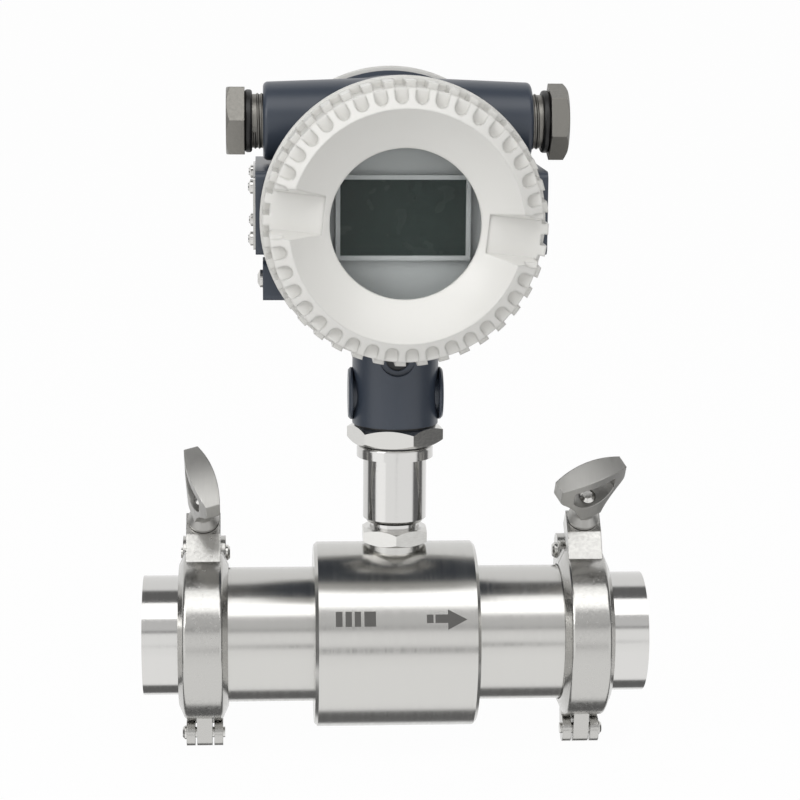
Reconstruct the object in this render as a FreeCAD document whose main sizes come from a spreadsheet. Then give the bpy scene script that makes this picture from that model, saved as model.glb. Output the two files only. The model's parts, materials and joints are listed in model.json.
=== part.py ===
import FreeCAD, Part
import math
import os
import re
import Sketcher

# Turbine flow meter for a DN 40 sanitary line, with clamped weld ferrules and a round display head.
# X runs with the flow, -Y faces the reader of the display, Z is up.
# The origin is the centre of the inlet mouth.

SIZES = {
    # flow line
    "bore": 40.0,
    "pipe_od": 50.0,
    "face_to_face": 140.0,
    "middle_od": 68.8,
    "middle_length": 60.0,
    "edge_break": 1.2,
    "weld_end_od": 44.4,
    "weld_end_length": 21.5,
    "weld_end_bore": 41.0,
    "flange_od": 55.2,
    "flange_rim": 2.85,
    "flange_angle": 20.0,
    "gasket_thickness": 1.6,
    "gasket_od": 51.8,
    "gasket_id": 42.2,
    "bead_pitch_diameter": 45.6,
    "bead_width": 3.0,
    "bead_rise": 1.1,
    "seal_play": 0.06,
    # turbine inside the bore
    "guide_hub_d": 14.0,
    "guide_length": 26.0,
    "guide_nose": 9.0,
    "nose_curve": 13.05,
    "vane_count": 6,
    "vane_thickness": 1.3,
    "vane_play": 0.05,
    "vane_tip": 3.0,
    "ring_groove_d": 42.0,
    "ring_thickness": 1.2,
    "ring_id": 36.6,
    "ring_opening": 9.0,
    "rotor_d": 38.8,
    "rotor_hub_d": 13.6,
    "rotor_length": 13.0,
    "blade_count": 8,
    "blade_length": 11.0,
    "blade_thickness": 1.1,
    "blade_lead": 95.0,
    "blade_root": 1.5,
    "tip_allowance": 1.0,
    "rotor_end_play": 0.35,
    "shaft_d": 3.0,
    "shaft_play": 0.05,
    "press_play": 0.01,
    "shaft_grip": 9.0,
    "bush_od": 6.0,
    "washer_od": 5.6,
    "washer_thickness": 0.8,
    # clamps
    "clamp_od": 62.4,
    "clamp_band": 13.8,
    "clamp_lip_width": 18.2,
    "clamp_lip_d": 50.8,
    "clamp_round": 1.4,
    "lip_depth": 1.0,
    "clamp_play": 0.3,
    "split_gap": 0.8,
    "hinge_drop": 38.0,
    "knuckle_d": 10.0,
    "knuckle_flare": 2.0,
    "knuckle_sink": 2.0,
    "tongue_width": 5.7,
    "fork_width": 13.6,
    "fork_play": 0.7,
    "hinge_pin_d": 4.0,
    "pin_play": 0.05,
    "hinge_pin_head_d": 5.2,
    "hinge_pin_head": 1.5,
    "ear_width": 16.0,
    "ear_d": 13.0,
    "ear_root_front": 14.0,
    "ear_root_back": 24.0,
    "ear_web_back": 30.0,
    "ear_web_front": 70.0,
    "root_sink": 1.5,
    "pivot_back": 16.4,
    "pivot_height": 27.3,
    "pivot_pin_d": 4.0,
    "pivot_pin_head_d": 6.0,
    "pivot_pin_head": 1.6,
    "bolt_tilt": 47.0,
    "bolt_d": 6.0,
    "bolt_reach": 37.4,
    "eye_d": 8.4,
    "eye_width": 7.2,
    "seat_reach": 22.0,
    "seat_width": 12.6,
    "seat_below": 6.2,
    "seat_above": 3.3,
    "seat_thickness": 8.5,
    "seat_heel": 2.2,
    "lug_root": 19.0,
    "lug_rise": 1.6,
    "slot_play": 0.35,
    "nut_gap": 0.3,
    "nut_base_d": 11.6,
    "nut_base": 2.0,
    "nut_waist_d": 8.2,
    "nut_waist_height": 6.5,
    "nut_height": 29.5,
    "nut_crown": 1.6,
    "hub_swell": 0.4,
    "wing_span": 27.0,
    "wing_thickness": 9.2,
    "wing_end": 2.6,
    "wing_end_height": 8.2,
    "hub_top": 10.0,
    "window_high": 25.5,
    "window_span": 17.0,
    "window_side": 6.0,
    "window_curve": 9.2,
    "window_round": 1.0,
    "wing_curve": 25.6,
    "wing_heel": 1.5,
    "wing_tuck": 1.0,
    "wing_sink": 0.5,
    "thread_floor": 16.4,
    "inlet_nut_turn": 108.0,
    "outlet_nut_turn": 25.0,
    # neck
    "boss_height": 35.4,
    "boss_d": 21.5,
    "pickup_bore_d": 18.4,
    "pickup_floor": 22.6,
    "lower_nut_af": 23.4,
    "lower_nut_top": 41.4,
    "nut_break": 0.3,
    "standpipe_od": 23.4,
    "standpipe_thread_d": 18.2,
    "standpipe_bore": 14.6,
    "standpipe_low": 43.4,
    "standpipe_break": 1.6,
    "collar_d": 28.2,
    "collar_low": 68.0,
    "collar_high": 72.4,
    "collar_round": 1.2,
    "neck_seal_thickness": 0.7,
    "collar_seal_inset": 0.6,
    "neck_seal_inset": 1.2,
    "upper_nut_af": 31.0,
    "upper_nut_height": 6.8,
    "upper_nut_turn": 19.0,
    "spigot_d": 19.8,
    "spigot_rise": 24.0,
    "swivel_play": 0.08,
    "coil_d": 14.2,
    "coil_length": 34.0,
    "coil_stub": 3.0,
    # head
    "neck_length": 78.9,
    "head_front": 36.0,
    "head_back": 40.0,
    "barrel_d": 88.0,
    "barrel_wall": 7.0,
    "head_step": 2.5,
    "head_rim": 2.4,
    "head_rim_step": 4.0,
    "head_rim_slope": 1.5,
    "barrel_length": 9.5,
    "wall_front": 9.0,
    "wall_back": 6.0,
    "wire_hole_d": 10.0,
    "neck_d": 31.6,
    "tube_d": 28.0,
    "tube_stand": 4.2,
    "tube_draft": 2.3,
    "tube_rise": 31.4,
    "tube_round": 1.8,
    "pad_stand": 7.0,
    "pad_low": -13.1,
    "pad_high": 16.1,
    "pad_front": -35.5,
    "pad_back": 36.5,
    "pad_round": 3.0,
    "earth_stand": 4.5,
    "earth_length": 20.0,
    "earth_round": 2.0,
    "earth_low": -30.6,
    "earth_high": -16.5,
    "earth_front": -24.0,
    "earth_back": -9.0,
    "cap_d": 19.2,
    "cap_up": 10.8,
    "cap_rise": 1.5,
    "cap_depth": 3.0,
    "cap_lip": 2.6,
    "cap_break": 0.8,
    "lock_d": 8.5,
    "lock_up": 25.7,
    "lock_face_depth": 1.4,
    "lock_face_long": 11.0,
    "lock_face_width": 13.0,
    "set_screw_gap": 0.3,
    "set_screw_sink": 2.4,
    # covers, window and display
    "thread_play": 0.3,
    "cover_wall": 4.4,
    "cover_rim": 3.0,
    "cover_rim_step": 0.9,
    "cover_step": 2.2,
    "cover_waist": 3.2,
    "cover_waist_width": 1.6,
    "cover_step_front": 62.0,
    "cover_side_front": 57.0,
    "crest_inset": 6.85,
    "dish_curve": 60.0,
    "cover_front": 67.0,
    "window_d": 51.8,
    "window_front": 56.0,
    "flute_count": 40,
    "flute_width": 4.4,
    "side_notch_width": 3.9,
    "flute_floor": 62.0,
    "flute_inset": 1.4,
    "notch_depth": 2.3,
    "wrench_width": 13.0,
    "wrench_inset": 2.4,
    "wrench_draft": 12.0,
    "cover_turn": 6.3,
    "glass_overlap": 5.1,
    "glass_thickness": 4.0,
    "glass_lip": 1.6,
    "glass_seal": 0.8,
    "glass_ring_length": 3.0,
    "glass_ring_wall": 3.2,
    "gasket_relief": 0.8,
    "cover_seal_thickness": 1.0,
    "cover_seal_width": 2.7,
    "rear_cover_length": 18.0,
    "rear_cover_wall": 4.5,
    "rear_cover_slope": 4.0,
    "rear_cover_band": 2.0,
    "rear_barrel_length": 11.0,
    "face_plate_play": 2.0,
    "face_plate_front": 38.0,
    "face_plate_thickness": 1.5,
    "lcd_width": 43.6,
    "lcd_height": 26.4,
    "lcd_thickness": 2.6,
    "lcd_frame": 1.6,
    "lcd_sink": 0.6,
    "lcd_rise": 0.8,
    "board_play": 3.0,
    "board_gap": 8.0,
    "board_thickness": 1.6,
    "post_d": 5.0,
    "post_inset": 5.0,
    "terminal_width": 44.0,
    "terminal_height": 18.0,
    "terminal_depth": 14.0,
    "terminal_ways": 6,
    "terminal_step": 7.7,
    "terminal_way_d": 4.0,
    "terminal_way_depth": 4.9,
    # plugs and small parts
    "plug_thread_d": 20.0,
    "thread_depth": 0.4,
    "thread_lead_in": 1.0,
    "plug_thread_length": 9.0,
    "plug_shown_thread": 3.9,
    "plug_seal_od": 22.5,
    "plug_seal_thickness": 2.7,
    "plug_af": 24.0,
    "plug_head": 6.6,
    "seal_round": 1.0,
    "entry_floor": 9.0,
    "left_plug_turn": 4.0,
    "right_plug_turn": 19.0,
    "plate_length": 71.0,
    "plate_height": 25.3,
    "plate_thickness": 0.8,
    "plate_round": 1.2,
    "plate_hole_play": 0.1,
    "screw_head_d": 5.0,
    "screw_head": 1.7,
    "screw_d": 2.9,
    "screw_depth": 4.5,
    "screw_inset": 3.6,
    "screw_side": 0.95,
    "screw_crown": 1.5,
    "earth_screw_head_d": 6.4,
    "earth_screw_head": 1.8,
}

doc = FreeCAD.newDocument("FlowMeter")
sheet = doc.addObject("Spreadsheet::Sheet", "Sizes")
for row, (alias, number) in enumerate(SIZES.items(), start=1):
    sheet.set(f"A{row}", alias)
    sheet.set(f"B{row}", str(number))
    sheet.setAlias(f"B{row}", alias)
doc.recompute()

# How far a cut runs out past the face that it starts from.
PAST = "1"

# Places that several pieces share, as formulas of the sheet's names.
INLET_CLAMP_X = "(weld_end_length + gasket_thickness / 2)"
OUTLET_CLAMP_X = "(weld_end_length + gasket_thickness * 3 / 2 + face_to_face)"
NECK_X = "(weld_end_length + gasket_thickness + face_to_face / 2)"
HALF_FACE = "(face_to_face / 2)"
FLANGE_BACK = "(flange_rim + (flange_od - pipe_od) / 2 * tan(flange_angle))"
WELD_FLANGE_BACK = "(flange_rim + (flange_od - weld_end_od) / 2 * tan(flange_angle))"
GUIDE_START = "(rotor_length / 2 + rotor_end_play + washer_thickness)"
GUIDE_END = f"({GUIDE_START} + guide_length)"
UPPER_NUT_LOW = "(collar_high + neck_seal_thickness)"
UPPER_NUT_TOP = "(collar_high + neck_seal_thickness + upper_nut_height)"
NECK_BOTTOM = "(collar_high + neck_seal_thickness * 2 + upper_nut_height)"
SPIGOT_TOP = f"({NECK_BOTTOM} + spigot_rise)"
HEAD_Z = f"({NECK_BOTTOM} + neck_length)"
CAVITY_R = "(barrel_d / 2 - barrel_wall)"
SKIRT_R = "(barrel_d / 2 + thread_play)"
COVER_PAD_R = f"({SKIRT_R} + cover_wall)"
COVER_R = f"({COVER_PAD_R} + cover_rim_step)"
COVER_STEP_R = f"({COVER_PAD_R} - cover_step)"
CREST_R = f"({COVER_STEP_R} - crest_inset)"
NOTCH_R = f"({COVER_PAD_R} - notch_depth)"
GLASS_R = "(window_d / 2 + glass_overlap)"
TUBE_END = "(barrel_d / 2 + tube_stand)"
PAD_REACH = "(barrel_d / 2 + pad_stand)"
EARTH_REACH = "(barrel_d / 2 + earth_stand)"


def named(formula):
    """The formula with each size's name led back to the sheet."""
    def led_back(word):
        return "Sizes." + word.group() if word.group() in SIZES else word.group()

    return re.sub(r"[a-z][a-z_]*", led_back, formula)


def value(formula):
    return float(sheet.evalExpression(named(formula)))


def tie(thing, name, formula):
    thing.setExpression(name, named(formula))


def new_body(name):
    body = doc.addObject("PartDesign::Body", name)
    body.Label = name
    return body


def origin_item(body, role):
    return next(item for item in body.Origin.OriginFeatures if item.Role == role)


def new_sketch(body, name, plane, lift="0"):
    """A sketch on one of the body's own planes, lifted off it by a formula."""
    sketch = body.newObject("Sketcher::SketchObject", name)
    sketch.AttachmentSupport = [(origin_item(body, plane), "")]
    sketch.MapMode = "FlatFace"
    if lift != "0":
        tie(sketch, "AttachmentOffset.Base.z", lift)
    return sketch


def hold(sketch, geometry, vertex, formulas):
    """Ties one point of a sketch to two formulas, measured from the sketch's origin."""
    axes = (("DistanceX", -2), ("DistanceY", -1))
    for (kind, axis), formula in zip(axes, formulas):
        if formula == "0":
            sketch.addConstraint(Sketcher.Constraint("PointOnObject", geometry, vertex, axis))
            continue
        index = sketch.addConstraint(Sketcher.Constraint(kind, -1, 1, geometry, vertex, value(formula)))
        tie(sketch, f"Constraints[{index}]", formula)


def size_radius(sketch, geometry, formula):
    index = sketch.addConstraint(Sketcher.Constraint("Radius", geometry, value(formula)))
    tie(sketch, f"Constraints[{index}]", formula)


def arc_between(start, end, radius, leftward):
    """The short arc from start to end; leftward when it turns to the left on its way."""
    chord = end - start
    rise = math.sqrt(max(radius ** 2 - (chord.Length / 2) ** 2, 0))
    normal = FreeCAD.Vector(-chord.y, chord.x, 0).normalize()
    centre = (start + end) / 2 + normal * (rise if leftward else -rise)
    first, last = (start, end) if leftward else (end, start)
    angles = [math.atan2(spot.y - centre.y, spot.x - centre.x) for spot in (first, last)]
    if angles[1] < angles[0]:
        angles[1] += 2 * math.pi
    circle = Part.Circle(centre, FreeCAD.Vector(0, 0, 1), radius)
    return Part.ArcOfCircle(circle, angles[0], angles[1])


def outline(sketch, corners, rounds=None, arcs=None):
    """A closed outline whose corners are formulas.

    rounds gives a corner's fillet radius, and arcs the radius of the edge that leaves a corner:
    it turns left where the edge is an arc with a plus before its formula, and right with a minus.
    """
    rounds = rounds or {}
    arcs = arcs or {}
    count = len(corners)
    spots = [FreeCAD.Vector(value(x), value(y), 0) for x, y in corners]
    leaving = list(spots)
    arriving = list(spots)
    for corner, formula in rounds.items():
        before = (spots[corner - 1] - spots[corner]).normalize()
        after = (spots[(corner + 1) % count] - spots[corner]).normalize()
        half_turn = before.getAngle(after) / 2
        setback = value(formula) / math.tan(half_turn)
        arriving[corner] = spots[corner] + before * setback
        leaving[corner] = spots[corner] + after * setback
    edges = []
    for corner in range(count):
        start = leaving[corner]
        end = arriving[(corner + 1) % count]
        if corner in arcs:
            leftward = arcs[corner].startswith("+")
            curve = arc_between(start, end, value(arcs[corner][1:]), leftward)
            edges.append((sketch.addGeometry(curve, False), (1, 2) if leftward else (2, 1)))
        else:
            edges.append((sketch.addGeometry(Part.LineSegment(start, end), False), (1, 2)))
    for corner in range(count):
        edge, (first, _) = edges[corner]
        previous, (_, last) = edges[corner - 1]
        if corner not in rounds:
            sketch.addConstraint(Sketcher.Constraint("Coincident", previous, last, edge, first))
            hold(sketch, edge, first, corners[corner])
            continue
        turn = (arriving[corner] - spots[corner]).cross(leaving[corner] - spots[corner]).z
        leftward = turn < 0
        curve = arc_between(arriving[corner], leaving[corner], value(rounds[corner]), leftward)
        arc = sketch.addGeometry(curve, False)
        arc_first, arc_last = (1, 2) if leftward else (2, 1)
        point = sketch.addGeometry(Part.Point(spots[corner]), True)
        hold(sketch, point, 1, corners[corner])
        sketch.addConstraint(Sketcher.Constraint("PointOnObject", point, 1, previous))
        sketch.addConstraint(Sketcher.Constraint("PointOnObject", point, 1, edge))
        sketch.addConstraint(Sketcher.Constraint("Tangent", previous, last, arc, arc_first))
        sketch.addConstraint(Sketcher.Constraint("Tangent", arc, arc_last, edge, first))
        size_radius(sketch, arc, rounds[corner])
    for corner, formula in arcs.items():
        size_radius(sketch, edges[corner][0], formula[1:])


def round_hole(sketch, x, y, diameter):
    centre = FreeCAD.Vector(value(x), value(y), 0)
    circle = sketch.addGeometry(Part.Circle(centre, FreeCAD.Vector(0, 0, 1), value(diameter) / 2), False)
    hold(sketch, circle, 3, (x, y))
    size_radius(sketch, circle, f"({diameter}) / 2")


def hexagon(sketch, across_flats, turn="0"):
    """A regular hexagon about the sketch's origin, held by its own circle."""
    reach = f"({across_flats}) / 2 / cos(30)"
    corners = []
    for step in range(6):
        angle = f"{turn} + {60 * step}"
        corners.append((f"{reach} * cos({angle})", f"{reach} * sin({angle})"))
    outline(sketch, corners)


def feature(body, kind, sketch, name):
    made = body.newObject("PartDesign::" + kind, name)
    made.Profile = (sketch, [""])
    return made


def turn_about(body, kind, sketch, name, axis="H_Axis", sweep=360.0, backward=False):
    made = feature(body, kind, sketch, name)
    made.ReferenceAxis = (sketch, [axis])
    made.Angle = sweep
    made.Reversed = backward
    return made


def push(body, kind, sketch, name, length, both_ways=False, backward=False):
    """A Pad or a Pocket of one length, from the sketch or both ways from it."""
    made = feature(body, kind, sketch, name)
    made.SideType = "Symmetric" if both_ways else "One side"
    made.Reversed = backward
    tie(made, "Length", length)
    return made


def repeat(body, originals, name, axis, count):
    made = body.newObject("PartDesign::PolarPattern", name)
    made.Originals = originals
    made.Axis = (origin_item(body, axis), [""])
    made.Angle = 360.0
    tie(made, "Occurrences", count)
    body.Tip = made
    return made


def place(body, x="0", y="0", z="0", axis=None, angle="0"):
    """Puts a finished piece at its place, turned about one axis."""
    if axis is not None:
        body.Placement = FreeCAD.Placement(FreeCAD.Vector(), FreeCAD.Rotation(axis, value(angle)))
        tie(body, "Placement.Rotation.Angle", f"({angle}) * 1 deg")
    for letter, formula in zip("xyz", (x, y, z)):
        if formula != "0":
            tie(body, f"Placement.Base.{letter}", formula)
    return body


ALONG_X = FreeCAD.Vector(1, 0, 0)
ALONG_Y = FreeCAD.Vector(0, 1, 0)
ALONG_Z = FreeCAD.Vector(0, 0, 1)
TURNING = {"X": ("XZ_Plane", "H_Axis"), "Y": ("YZ_Plane", "H_Axis"), "Z": ("XZ_Plane", "V_Axis")}


def turned(name, along, profile, rounds=None):
    """A lathe part: along X and Y its profile is (length, radius), along Z it is (radius, height)."""
    plane, axis = TURNING[along]
    body = new_body(name)
    sketch = new_sketch(body, name + "_profile", plane)
    outline(sketch, profile, rounds)
    turn_about(body, "Revolution", sketch, name + "_turned", axis)
    return body


def ring_profile(low, high, inner, outer):
    return [(low, inner), (high, inner), (high, outer), (low, outer)]


def standing_ring(low, high, inner, outer):
    return [(inner, low), (outer, low), (outer, high), (inner, high)]


def broken_corners(body, name, across_flats, face, inward, plane, axis):
    """Turns one face of a hexagon off at its corners; inward is the sign of the way into the metal."""
    inside = f"(({across_flats}) / 2 - nut_break)"
    outside = f"(({across_flats}) / 2 / cos(30) + {PAST})"
    slope = f"(({outside} - {inside}) * tan(30))"
    outward = "-" if inward == "+" else "+"
    corners = [(inside, face), (outside, f"{face} {inward} {slope}"), (outside, f"{face} {outward} {PAST}"),
               (inside, f"{face} {outward} {PAST}")]
    if axis == "H_Axis":
        corners = [(along, radius) for radius, along in corners]
    sketch = new_sketch(body, name + "_corner_profile", plane)
    outline(sketch, corners)
    return turn_about(body, "Groove", sketch, name + "_corners", axis)


def hex_nut(name, low, high, across_flats, hole, turn):
    """A hex nut standing on its flat, with both faces turned off at the corners."""
    body = new_body(name)
    blank = new_sketch(body, name + "_hexagon", "XY_Plane", low)
    hexagon(blank, across_flats, turn)
    push(body, "Pad", blank, name + "_blank", f"{high} - {low}")
    bored = new_sketch(body, name + "_hole", "XY_Plane", low)
    round_hole(bored, "0", "0", hole)
    push(body, "Pocket", bored, name + "_bored", f"{high} - {low}", backward=True)
    broken_corners(body, name + "_top", across_flats, high, "-", "XZ_Plane", "V_Axis")
    broken_corners(body, name + "_low", across_flats, low, "+", "XZ_Plane", "V_Axis")
    return body


# Flow line


def meter_body():
    """Turned from bar: thick middle, two pipe ends with clamp flanges, grooved bore, pickup boss."""
    flange_r = "flange_od / 2"
    pipe_r = "pipe_od / 2"
    middle_r = "middle_od / 2"
    bore_r = "bore / 2"
    groove_r = "ring_groove_d / 2"
    half_middle = "middle_length / 2"
    bead_in = "(bead_pitch_diameter - bead_width) / 2 - seal_play"
    bead_out = "(bead_pitch_diameter + bead_width) / 2 + seal_play"
    bead_deep = f"{HALF_FACE} - bead_rise - seal_play"
    ring_in = GUIDE_END
    ring_out = f"({GUIDE_END} + ring_thickness)"

    right = [
        (f"{half_middle} - edge_break", middle_r), (half_middle, f"{middle_r} - edge_break"),
        (half_middle, pipe_r), (f"{HALF_FACE} - {FLANGE_BACK}", pipe_r),
        (f"{HALF_FACE} - flange_rim", flange_r), (HALF_FACE, flange_r), (HALF_FACE, bead_out),
        (bead_deep, f"{bead_out} - bead_rise / 2"), (bead_deep, f"{bead_in} + bead_rise / 2"),
        (HALF_FACE, bead_in), (HALF_FACE, bore_r), (ring_out, bore_r), (ring_out, groove_r),
        (ring_in, groove_r), (ring_in, bore_r)]
    left = [(f"-({x})", r) for x, r in reversed(right)]
    body = new_body("meter_body")
    sketch = new_sketch(body, "meter_body_profile", "XZ_Plane")
    outline(sketch, left + right)
    turn_about(body, "Revolution", sketch, "meter_body_turned")
    boss = new_sketch(body, "boss_circle", "XY_Plane", "pickup_floor")
    round_hole(boss, "0", "0", "boss_d")
    push(body, "Pad", boss, "boss", "boss_height - pickup_floor")
    pickup = new_sketch(body, "pickup_bore_circle", "XY_Plane", "pickup_floor")
    round_hole(pickup, "0", "0", "pickup_bore_d")
    push(body, "Pocket", pickup, "pickup_bore", "middle_od", backward=True)
    return place(body, NECK_X)


def flow_guide(name, toward_flow):
    """Hub with a bullet nose and straight vanes that takes the swirl out and carries the shaft."""
    hub_r = "guide_hub_d / 2"
    body = new_body(name)
    sketch = new_sketch(body, name + "_profile", "XZ_Plane")
    nose_start = f"({GUIDE_END} - guide_nose)"
    outline(sketch, [(GUIDE_START, "shaft_d / 2"), (f"{GUIDE_START} + shaft_grip", "shaft_d / 2"),
                     (f"{GUIDE_START} + shaft_grip + shaft_d / 4", "0"), (GUIDE_END, "0"),
                     (nose_start, hub_r), (GUIDE_START, hub_r)],
            arcs={3: "+nose_curve"})
    turn_about(body, "Revolution", sketch, name + "_hub")
    vane = new_sketch(body, name + "_vane_outline", "XY_Plane")
    reach = "bore / 2 - vane_play"
    outline(vane, [(GUIDE_START, "guide_hub_d / 4"), (nose_start, "guide_hub_d / 4"),
                   (nose_start, hub_r), (GUIDE_END, f"{reach} - vane_tip"), (GUIDE_END, reach),
                   (GUIDE_START, reach)])
    first = push(body, "Pad", vane, name + "_vane", "vane_thickness", both_ways=True)
    repeat(body, [first], name + "_vanes", "X_Axis", "vane_count")
    angle = "180" if toward_flow else "0"
    return place(body, NECK_X, axis=ALONG_Z, angle=angle)


def retaining_ring(name, upstream):
    """Spring ring in its groove, open at the top so that it can be squeezed out."""
    body = new_body(name)
    sketch = new_sketch(body, name + "_profile", "XZ_Plane")
    outline(sketch, ring_profile(GUIDE_END, f"{GUIDE_END} + ring_thickness - seal_play", "ring_id / 2",
                                 "ring_groove_d / 2 - seal_play"))
    turn_about(body, "Revolution", sketch, name + "_turned")
    gap = new_sketch(body, name + "_gap_outline", "YZ_Plane")
    outline(gap, [("-ring_opening / 2", "bore / 4"), ("ring_opening / 2", "bore / 4"),
                  ("ring_opening / 2", "ring_groove_d"), ("-ring_opening / 2", "ring_groove_d")])
    push(body, "Pocket", gap, name + "_gap", "face_to_face", both_ways=True)
    return place(body, NECK_X, axis=ALONG_Z, angle="180" if upstream else "0")


def rotor():
    """Hub with twisted blades: each blade is lofted through three stations, and the tips are turned true."""
    body = new_body("rotor")
    hub = new_sketch(body, "rotor_hub_profile", "XZ_Plane")
    outline(hub, [("-rotor_length / 2", "bush_od / 2"), ("rotor_length / 2", "bush_od / 2"),
                  ("rotor_length / 2", "rotor_hub_d / 2 - edge_break / 2"),
                  ("rotor_length / 2 - edge_break / 2", "rotor_hub_d / 2"),
                  ("-rotor_length / 2 + edge_break / 2", "rotor_hub_d / 2"),
                  ("-rotor_length / 2", "rotor_hub_d / 2 - edge_break / 2")])
    turn_about(body, "Revolution", hub, "rotor_hub")
    stations = []
    radii = ("rotor_hub_d / 2 - blade_root", "(rotor_hub_d + rotor_d) / 4", "rotor_d / 2 + tip_allowance")
    for index, radius in enumerate(radii, start=1):
        station = new_sketch(body, f"blade_station_{index}", "XY_Plane", radius)
        lean = f"(blade_length * pi * ({radius}) / blade_lead)"
        half = "blade_length / 2"
        thick = "blade_thickness / 2"
        outline(station, [(f"-{half}", f"-{lean} - {thick}"), (half, f"{lean} - {thick}"),
                          (half, f"{lean} + {thick}"), (f"-{half}", f"-{lean} + {thick}")])
        stations.append(station)
    blade = feature(body, "AdditiveLoft", stations[0], "blade")
    blade.Sections = stations[1:]
    blades = repeat(body, [blade], "blades", "X_Axis", "blade_count")
    tips = new_sketch(body, "tip_profile", "XZ_Plane")
    outline(tips, ring_profile("-rotor_length", "rotor_length", "rotor_d / 2", "rotor_d"))
    turn_about(body, "Groove", tips, "tips_trimmed")
    return place(body, NECK_X)


def turbine():
    meter_body()
    flow_guide("upstream_guide", True)
    flow_guide("downstream_guide", False)
    retaining_ring("upstream_retaining_ring", True)
    retaining_ring("downstream_retaining_ring", False)
    rotor()
    bush = ring_profile("-rotor_length / 2", "rotor_length / 2", "shaft_d / 2 + shaft_play", "bush_od / 2")
    place(turned("rotor_bush", "X", bush), NECK_X)
    shaft_end = f"({GUIDE_START} + shaft_grip - seal_play)"
    shaft_r = "shaft_d / 2 - press_play"
    place(turned("rotor_shaft", "X", [(f"-{shaft_end}", "0"), (shaft_end, "0"), (shaft_end, shaft_r),
                                      (f"-{shaft_end}", shaft_r)]), NECK_X)
    inner = "rotor_length / 2 + rotor_end_play"
    for name, angle in (("upstream_thrust_washer", "180"), ("downstream_thrust_washer", "0")):
        washer = turned(name, "X", ring_profile(inner, GUIDE_START, "shaft_d / 2", "washer_od / 2"))
        place(washer, NECK_X, axis=ALONG_Z, angle=angle)


def weld_ferrule(name, x, angle):
    """Short pipe end with a clamp flange: the flange's back is a cone that the clamp's groove draws in."""
    start = "gasket_thickness / 2"
    bead_in = "(bead_pitch_diameter - bead_width) / 2 - seal_play"
    bead_out = "(bead_pitch_diameter + bead_width) / 2 + seal_play"
    deep = f"{start} + bead_rise + seal_play"
    body = turned(name, "X", [
        (start, "weld_end_bore / 2"), (f"{start} + weld_end_length", "weld_end_bore / 2"),
        (f"{start} + weld_end_length", "weld_end_od / 2"),
        (f"{start} + {WELD_FLANGE_BACK}", "weld_end_od / 2"), (f"{start} + flange_rim", "flange_od / 2"),
        (start, "flange_od / 2"), (start, bead_out), (deep, f"{bead_out} - bead_rise / 2"),
        (deep, f"{bead_in} + bead_rise / 2"), (start, bead_in)])
    return place(body, x, axis=ALONG_Z, angle=angle)


def ring_gasket(name, x):
    """Flat ring with a bead on both faces that keeps it centred in the flanges' grooves."""
    face = "gasket_thickness / 2"
    rise = f"{face} + bead_rise"
    bead_in = "(bead_pitch_diameter - bead_width) / 2"
    bead_out = "(bead_pitch_diameter + bead_width) / 2"
    side = [(face, "gasket_id / 2"), (face, bead_in), (rise, f"{bead_in} + bead_rise / 2"),
            (rise, f"{bead_out} - bead_rise / 2"), (face, bead_out), (face, "gasket_od / 2")]
    other = [(f"-({x_side})", radius) for x_side, radius in reversed(side)]
    return place(turned(name, "X", side + other), x)


# Clamps


def clamp_ring(body, name, forward):
    """Half of the clamp's ring, before its groove: the front half is swept forward over the top."""
    lip = "clamp_lip_d / 2"
    outer = "clamp_od / 2"
    band = "clamp_band / 2"
    wide = "clamp_lip_width / 2"
    sketch = new_sketch(body, name + "_ring_profile", "XZ_Plane")
    outline(sketch, [(f"-{wide}", f"{lip} - lip_depth"), (wide, f"{lip} - lip_depth"),
                     (wide, f"{lip} + lip_depth"), (band, outer), (f"-{band}", outer),
                     (f"-{wide}", f"{lip} + lip_depth")],
            rounds={3: "clamp_round", 4: "clamp_round"})
    return turn_about(body, "Revolution", sketch, name + "_ring", sweep=180.0, backward=not forward)


def clamp_groove(body, name):
    """The groove that draws both flanges together, with play all round, and the lips' bore."""
    rim = "flange_od / 2 + clamp_play"
    lip = "clamp_lip_d / 2"
    half_rim = "(gasket_thickness / 2 + flange_rim + clamp_play / cos(flange_angle))"
    far = "clamp_lip_width"
    sketch = new_sketch(body, name + "_groove_profile", "XZ_Plane")
    lip_side = f"({half_rim} + ({rim} - {lip}) * tan(flange_angle))"
    outline(sketch, [(f"-{half_rim}", rim), (f"-{lip_side}", lip), (f"-{far}", lip), (f"-{far}", "bore / 2"),
                     (far, "bore / 2"), (far, lip), (lip_side, lip), (half_rim, rim)])
    return turn_about(body, "Groove", sketch, name + "_groove")


def split(body, name, forward):
    """Takes the half back from the split line by half the gap."""
    edge = "split_gap / 2"
    sign = "-" if forward else ""
    other = "" if forward else "-"
    sketch = new_sketch(body, name + "_split_outline", "YZ_Plane")
    outline(sketch, [(f"{sign}{edge}", "-clamp_od"), (f"{other}{edge}", "-clamp_od"),
                     (f"{other}{edge}", "clamp_od"), (f"{sign}{edge}", "clamp_od")])
    return push(body, "Pocket", sketch, name + "_split", "clamp_lip_width * 2", both_ways=True)


def knuckle(body, name, forward, width):
    """The hinge knuckle under the ring: a round eye and the neck that joins it to its own half."""
    sign = "-" if forward else ""
    eye = new_sketch(body, name + "_knuckle_circle", "YZ_Plane")
    round_hole(eye, "0", "-hinge_drop", "knuckle_d")
    push(body, "Pad", eye, name + "_knuckle", width, both_ways=True)
    neck = new_sketch(body, name + "_neck_outline", "YZ_Plane")
    outline(neck, [(f"{sign}split_gap / 2", "-hinge_drop"), (f"{sign}knuckle_d / 2", "-hinge_drop"),
                   (f"{sign}(knuckle_d / 2 + knuckle_flare)", "-clamp_od / 2 + knuckle_sink"),
                   (f"{sign}split_gap / 2", "-clamp_od / 2 + knuckle_sink")])
    push(body, "Pad", neck, name + "_neck", width, both_ways=True)


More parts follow.
